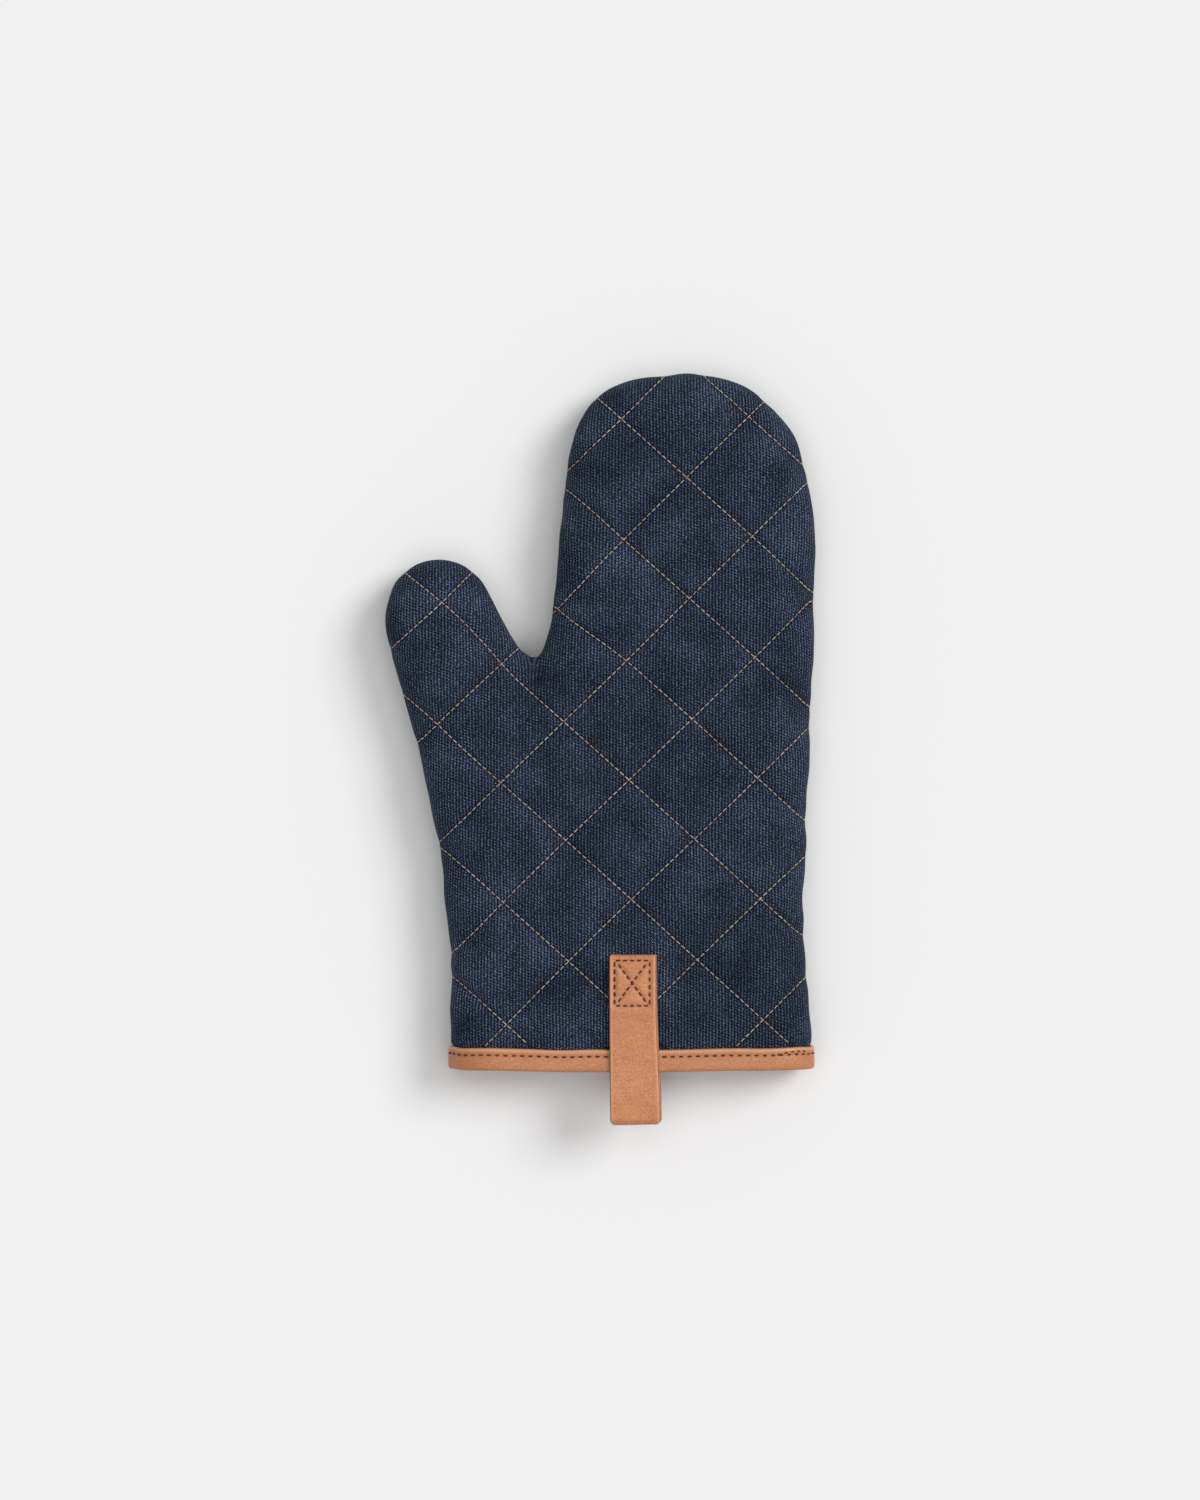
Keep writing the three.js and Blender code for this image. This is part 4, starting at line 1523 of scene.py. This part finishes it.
def thread_material(name, dark, middle, light):
    """Twisted sewing thread whose colour changes along the seam."""
    recipe = Recipe(name)
    place = recipe.attribute("thread")
    run, across, which = recipe.split(place)
    slant = recipe.scaled(across, THREAD_TWIST, run)
    ply = recipe.wave(slant, PLY_PITCH)
    single = recipe.noise(recipe.join(which, run), 0.31, 1.0)
    batch = recipe.noise(recipe.join(which, 0.0), 0.021, 2.0)
    value = recipe.scaled(ply, 0.25, recipe.range(single, 0.3, 0.7, 0.0, 0.35))
    value = recipe.scaled(recipe.range(batch, 0.35, 0.65), 0.4, value)
    colour = recipe.ramp(value, (0.1, linear(*dark)), (0.5, linear(*middle)), (0.9, linear(*light)))
    recipe.bump(ply, 0.7, 0.08)
    return recipe.set(
        Base_Color=colour,
        Roughness=recipe.range(single, 0.2, 0.8, 0.75, 0.6),
        Sheen_Weight=0.1,
        Specular_IOR_Level=0.3,
    )


def leather_material(name, seed, shade):
    """Tan leather; the seed moves its grain, and the shade scales its colours."""
    recipe = Recipe(name)
    cloth = recipe.attribute("cloth")
    burnish, bevel_highlight, pinch = recipe.split(recipe.attribute("edge"))
    u, v, w = recipe.split(cloth)
    place = recipe.join(u, v, recipe.math("ADD", w, seed))
    grain = recipe.noise(place, 1.1, 4.0, 0.6)
    streak_place = recipe.join(recipe.scaled(u, 0.5), v, seed)
    streak = recipe.noise(streak_place, 0.45, 3.0, 0.6)
    pebble = recipe.cells(place, 1.15)
    cloud = recipe.noise(place, 0.07, 3.0, 0.55)
    pores = recipe.noise(place, 2.6, 2.0)
    value = recipe.scaled(grain, 0.62, recipe.scaled(cloud, 0.2))
    value = recipe.scaled(streak, 0.18, value)
    stops = []
    for stop, tan in ((0.3, (158, 95, 59)), (0.5, (190, 123, 82)), (0.7, (214, 149, 102))):
        stops.append((stop, linear(*(shade * channel for channel in tan))))
    colour = recipe.ramp(value, *stops)
    colour = recipe.mix(recipe.range(pores, 0.62, 0.76, 0.0, 0.25), colour, linear(146, 88, 60))
    # Painted shade along the stitch lines, where the thread pulls the leather in.
    colour = recipe.mix(recipe.scaled(pinch, 0.22), colour, linear(128, 72, 46))
    # Painted highlight: a lighter band near the leather's edges and below the binding's fold.
    colour = recipe.mix(recipe.scaled(bevel_highlight, 0.45), colour, linear(228, 178, 142))
    colour = recipe.mix(recipe.scaled(burnish, 0.85), colour, linear(116, 68, 46))
    height = recipe.scaled(pebble, 0.3, recipe.scaled(grain, 0.7))
    recipe.bump(height, 0.5, 0.16)
    return recipe.set(
        Base_Color=colour,
        Roughness=recipe.range(grain, 0.25, 0.75, 0.56, 0.42),
        Specular_IOR_Level=0.4,
        Coat_Weight=0.03,
    )


def floor_material():
    """A pale surface with a faint unevenness."""
    recipe = Recipe("studio_floor")
    places = recipe.tree.nodes.new("ShaderNodeTexCoord")
    soft = recipe.noise(places.outputs["Object"], 3.0, 2.0)
    colour = recipe.ramp(soft, (0.0, (0.80, 0.80, 0.80, 1.0)), (1.0, (0.81, 0.81, 0.81, 1.0)))
    return recipe.set(Base_Color=colour, Roughness=0.9, Specular_IOR_Level=0.1)


# ---- Stage, light and camera ----

# Metres and degrees.
FLOOR_HALF = 2.5
CAMERA_HEIGHT = 2.4
SENSOR = 36.0
# The picture spans this height of the scene at the level of the mitt's seam.
PHOTO_HEIGHT = 0.6495
PHOTO_LEVEL = SEAM_Z * MM
WINDOW_FROM = Vector((0.87, 0.44, 0.93))
WINDOW_ENERGY = 1.75
WINDOW_ANGLE = 28
OVERHEAD_ENERGY = 1.2
OVERHEAD_ANGLE = 60
FILL_STRENGTH = 0.325


def add_floor():
    """The pale surface under the mitt."""
    h = FLOOR_HALF
    mesh = bpy.data.meshes.new("floor")
    mesh.from_pydata([(-h, -h, 0), (h, -h, 0), (h, h, 0), (-h, h, 0)], [], [(0, 1, 2, 3)])
    mesh.materials.append(floor_material())
    link("floor", mesh)


def add_sun(name, energy, angle):
    """A sun that shines straight down and looks so many degrees wide."""
    sun = bpy.data.lights.new(name, "SUN")
    sun.energy = energy
    sun.angle = math.radians(angle)
    return link(name, sun)


def add_light():
    """A broad window from the upper right, a weak overhead light and an even fill."""
    window = add_sun("window_light", WINDOW_ENERGY, WINDOW_ANGLE)
    window.rotation_euler = WINDOW_FROM.to_track_quat("Z", "Y").to_euler()
    add_sun("overhead_light", OVERHEAD_ENERGY, OVERHEAD_ANGLE)
    world = bpy.data.worlds.new("studio_fill")
    world.use_nodes = True
    background = world.node_tree.nodes["Background"]
    background.inputs["Color"].default_value = (1.0, 1.0, 1.0, 1.0)
    background.inputs["Strength"].default_value = FILL_STRENGTH
    bpy.context.scene.world = world


def add_camera():
    """The camera looks straight down and frames the mitt as the photo does."""
    lens = bpy.data.cameras.new("camera")
    lens.sensor_fit = "VERTICAL"
    lens.sensor_height = SENSOR
    lens.lens = SENSOR * (CAMERA_HEIGHT - PHOTO_LEVEL) / PHOTO_HEIGHT
    camera = link("camera", lens)
    camera.location = (0, 0, CAMERA_HEIGHT)
    bpy.context.scene.camera = camera


def add_mitt():
    """Every piece of the mitt: two sewn panels, the seam between them, and the leather."""
    cloth_materials = {
        COVER: denim_material(),
        WADDING: wadding_material(),
        LINING: lining_material(),
    }
    tan_thread = thread_material("tan_thread", (148, 115, 96), (184, 159, 142), (210, 197, 188))
    blue_thread = thread_material("seam_thread", (26, 30, 40), (44, 50, 62), (66, 72, 86))
    brown_thread = thread_material("brown_thread", (56, 22, 10), (82, 38, 20), (118, 62, 38))
    for side in PANEL_NAMES:
        make_panel(side, cloth_materials, tan_thread)
    add_seam_stitches(blue_thread)
    add_binding(leather_material("binding_leather", 40.0, 0.955), brown_thread)
    add_strap(leather_material("loop_leather", 0.0, 1.0), brown_thread)


def main():
    add_mitt()
    add_floor()
    add_light()
    add_camera()
    bpy.context.scene.view_settings.view_transform = "Standard"


main()
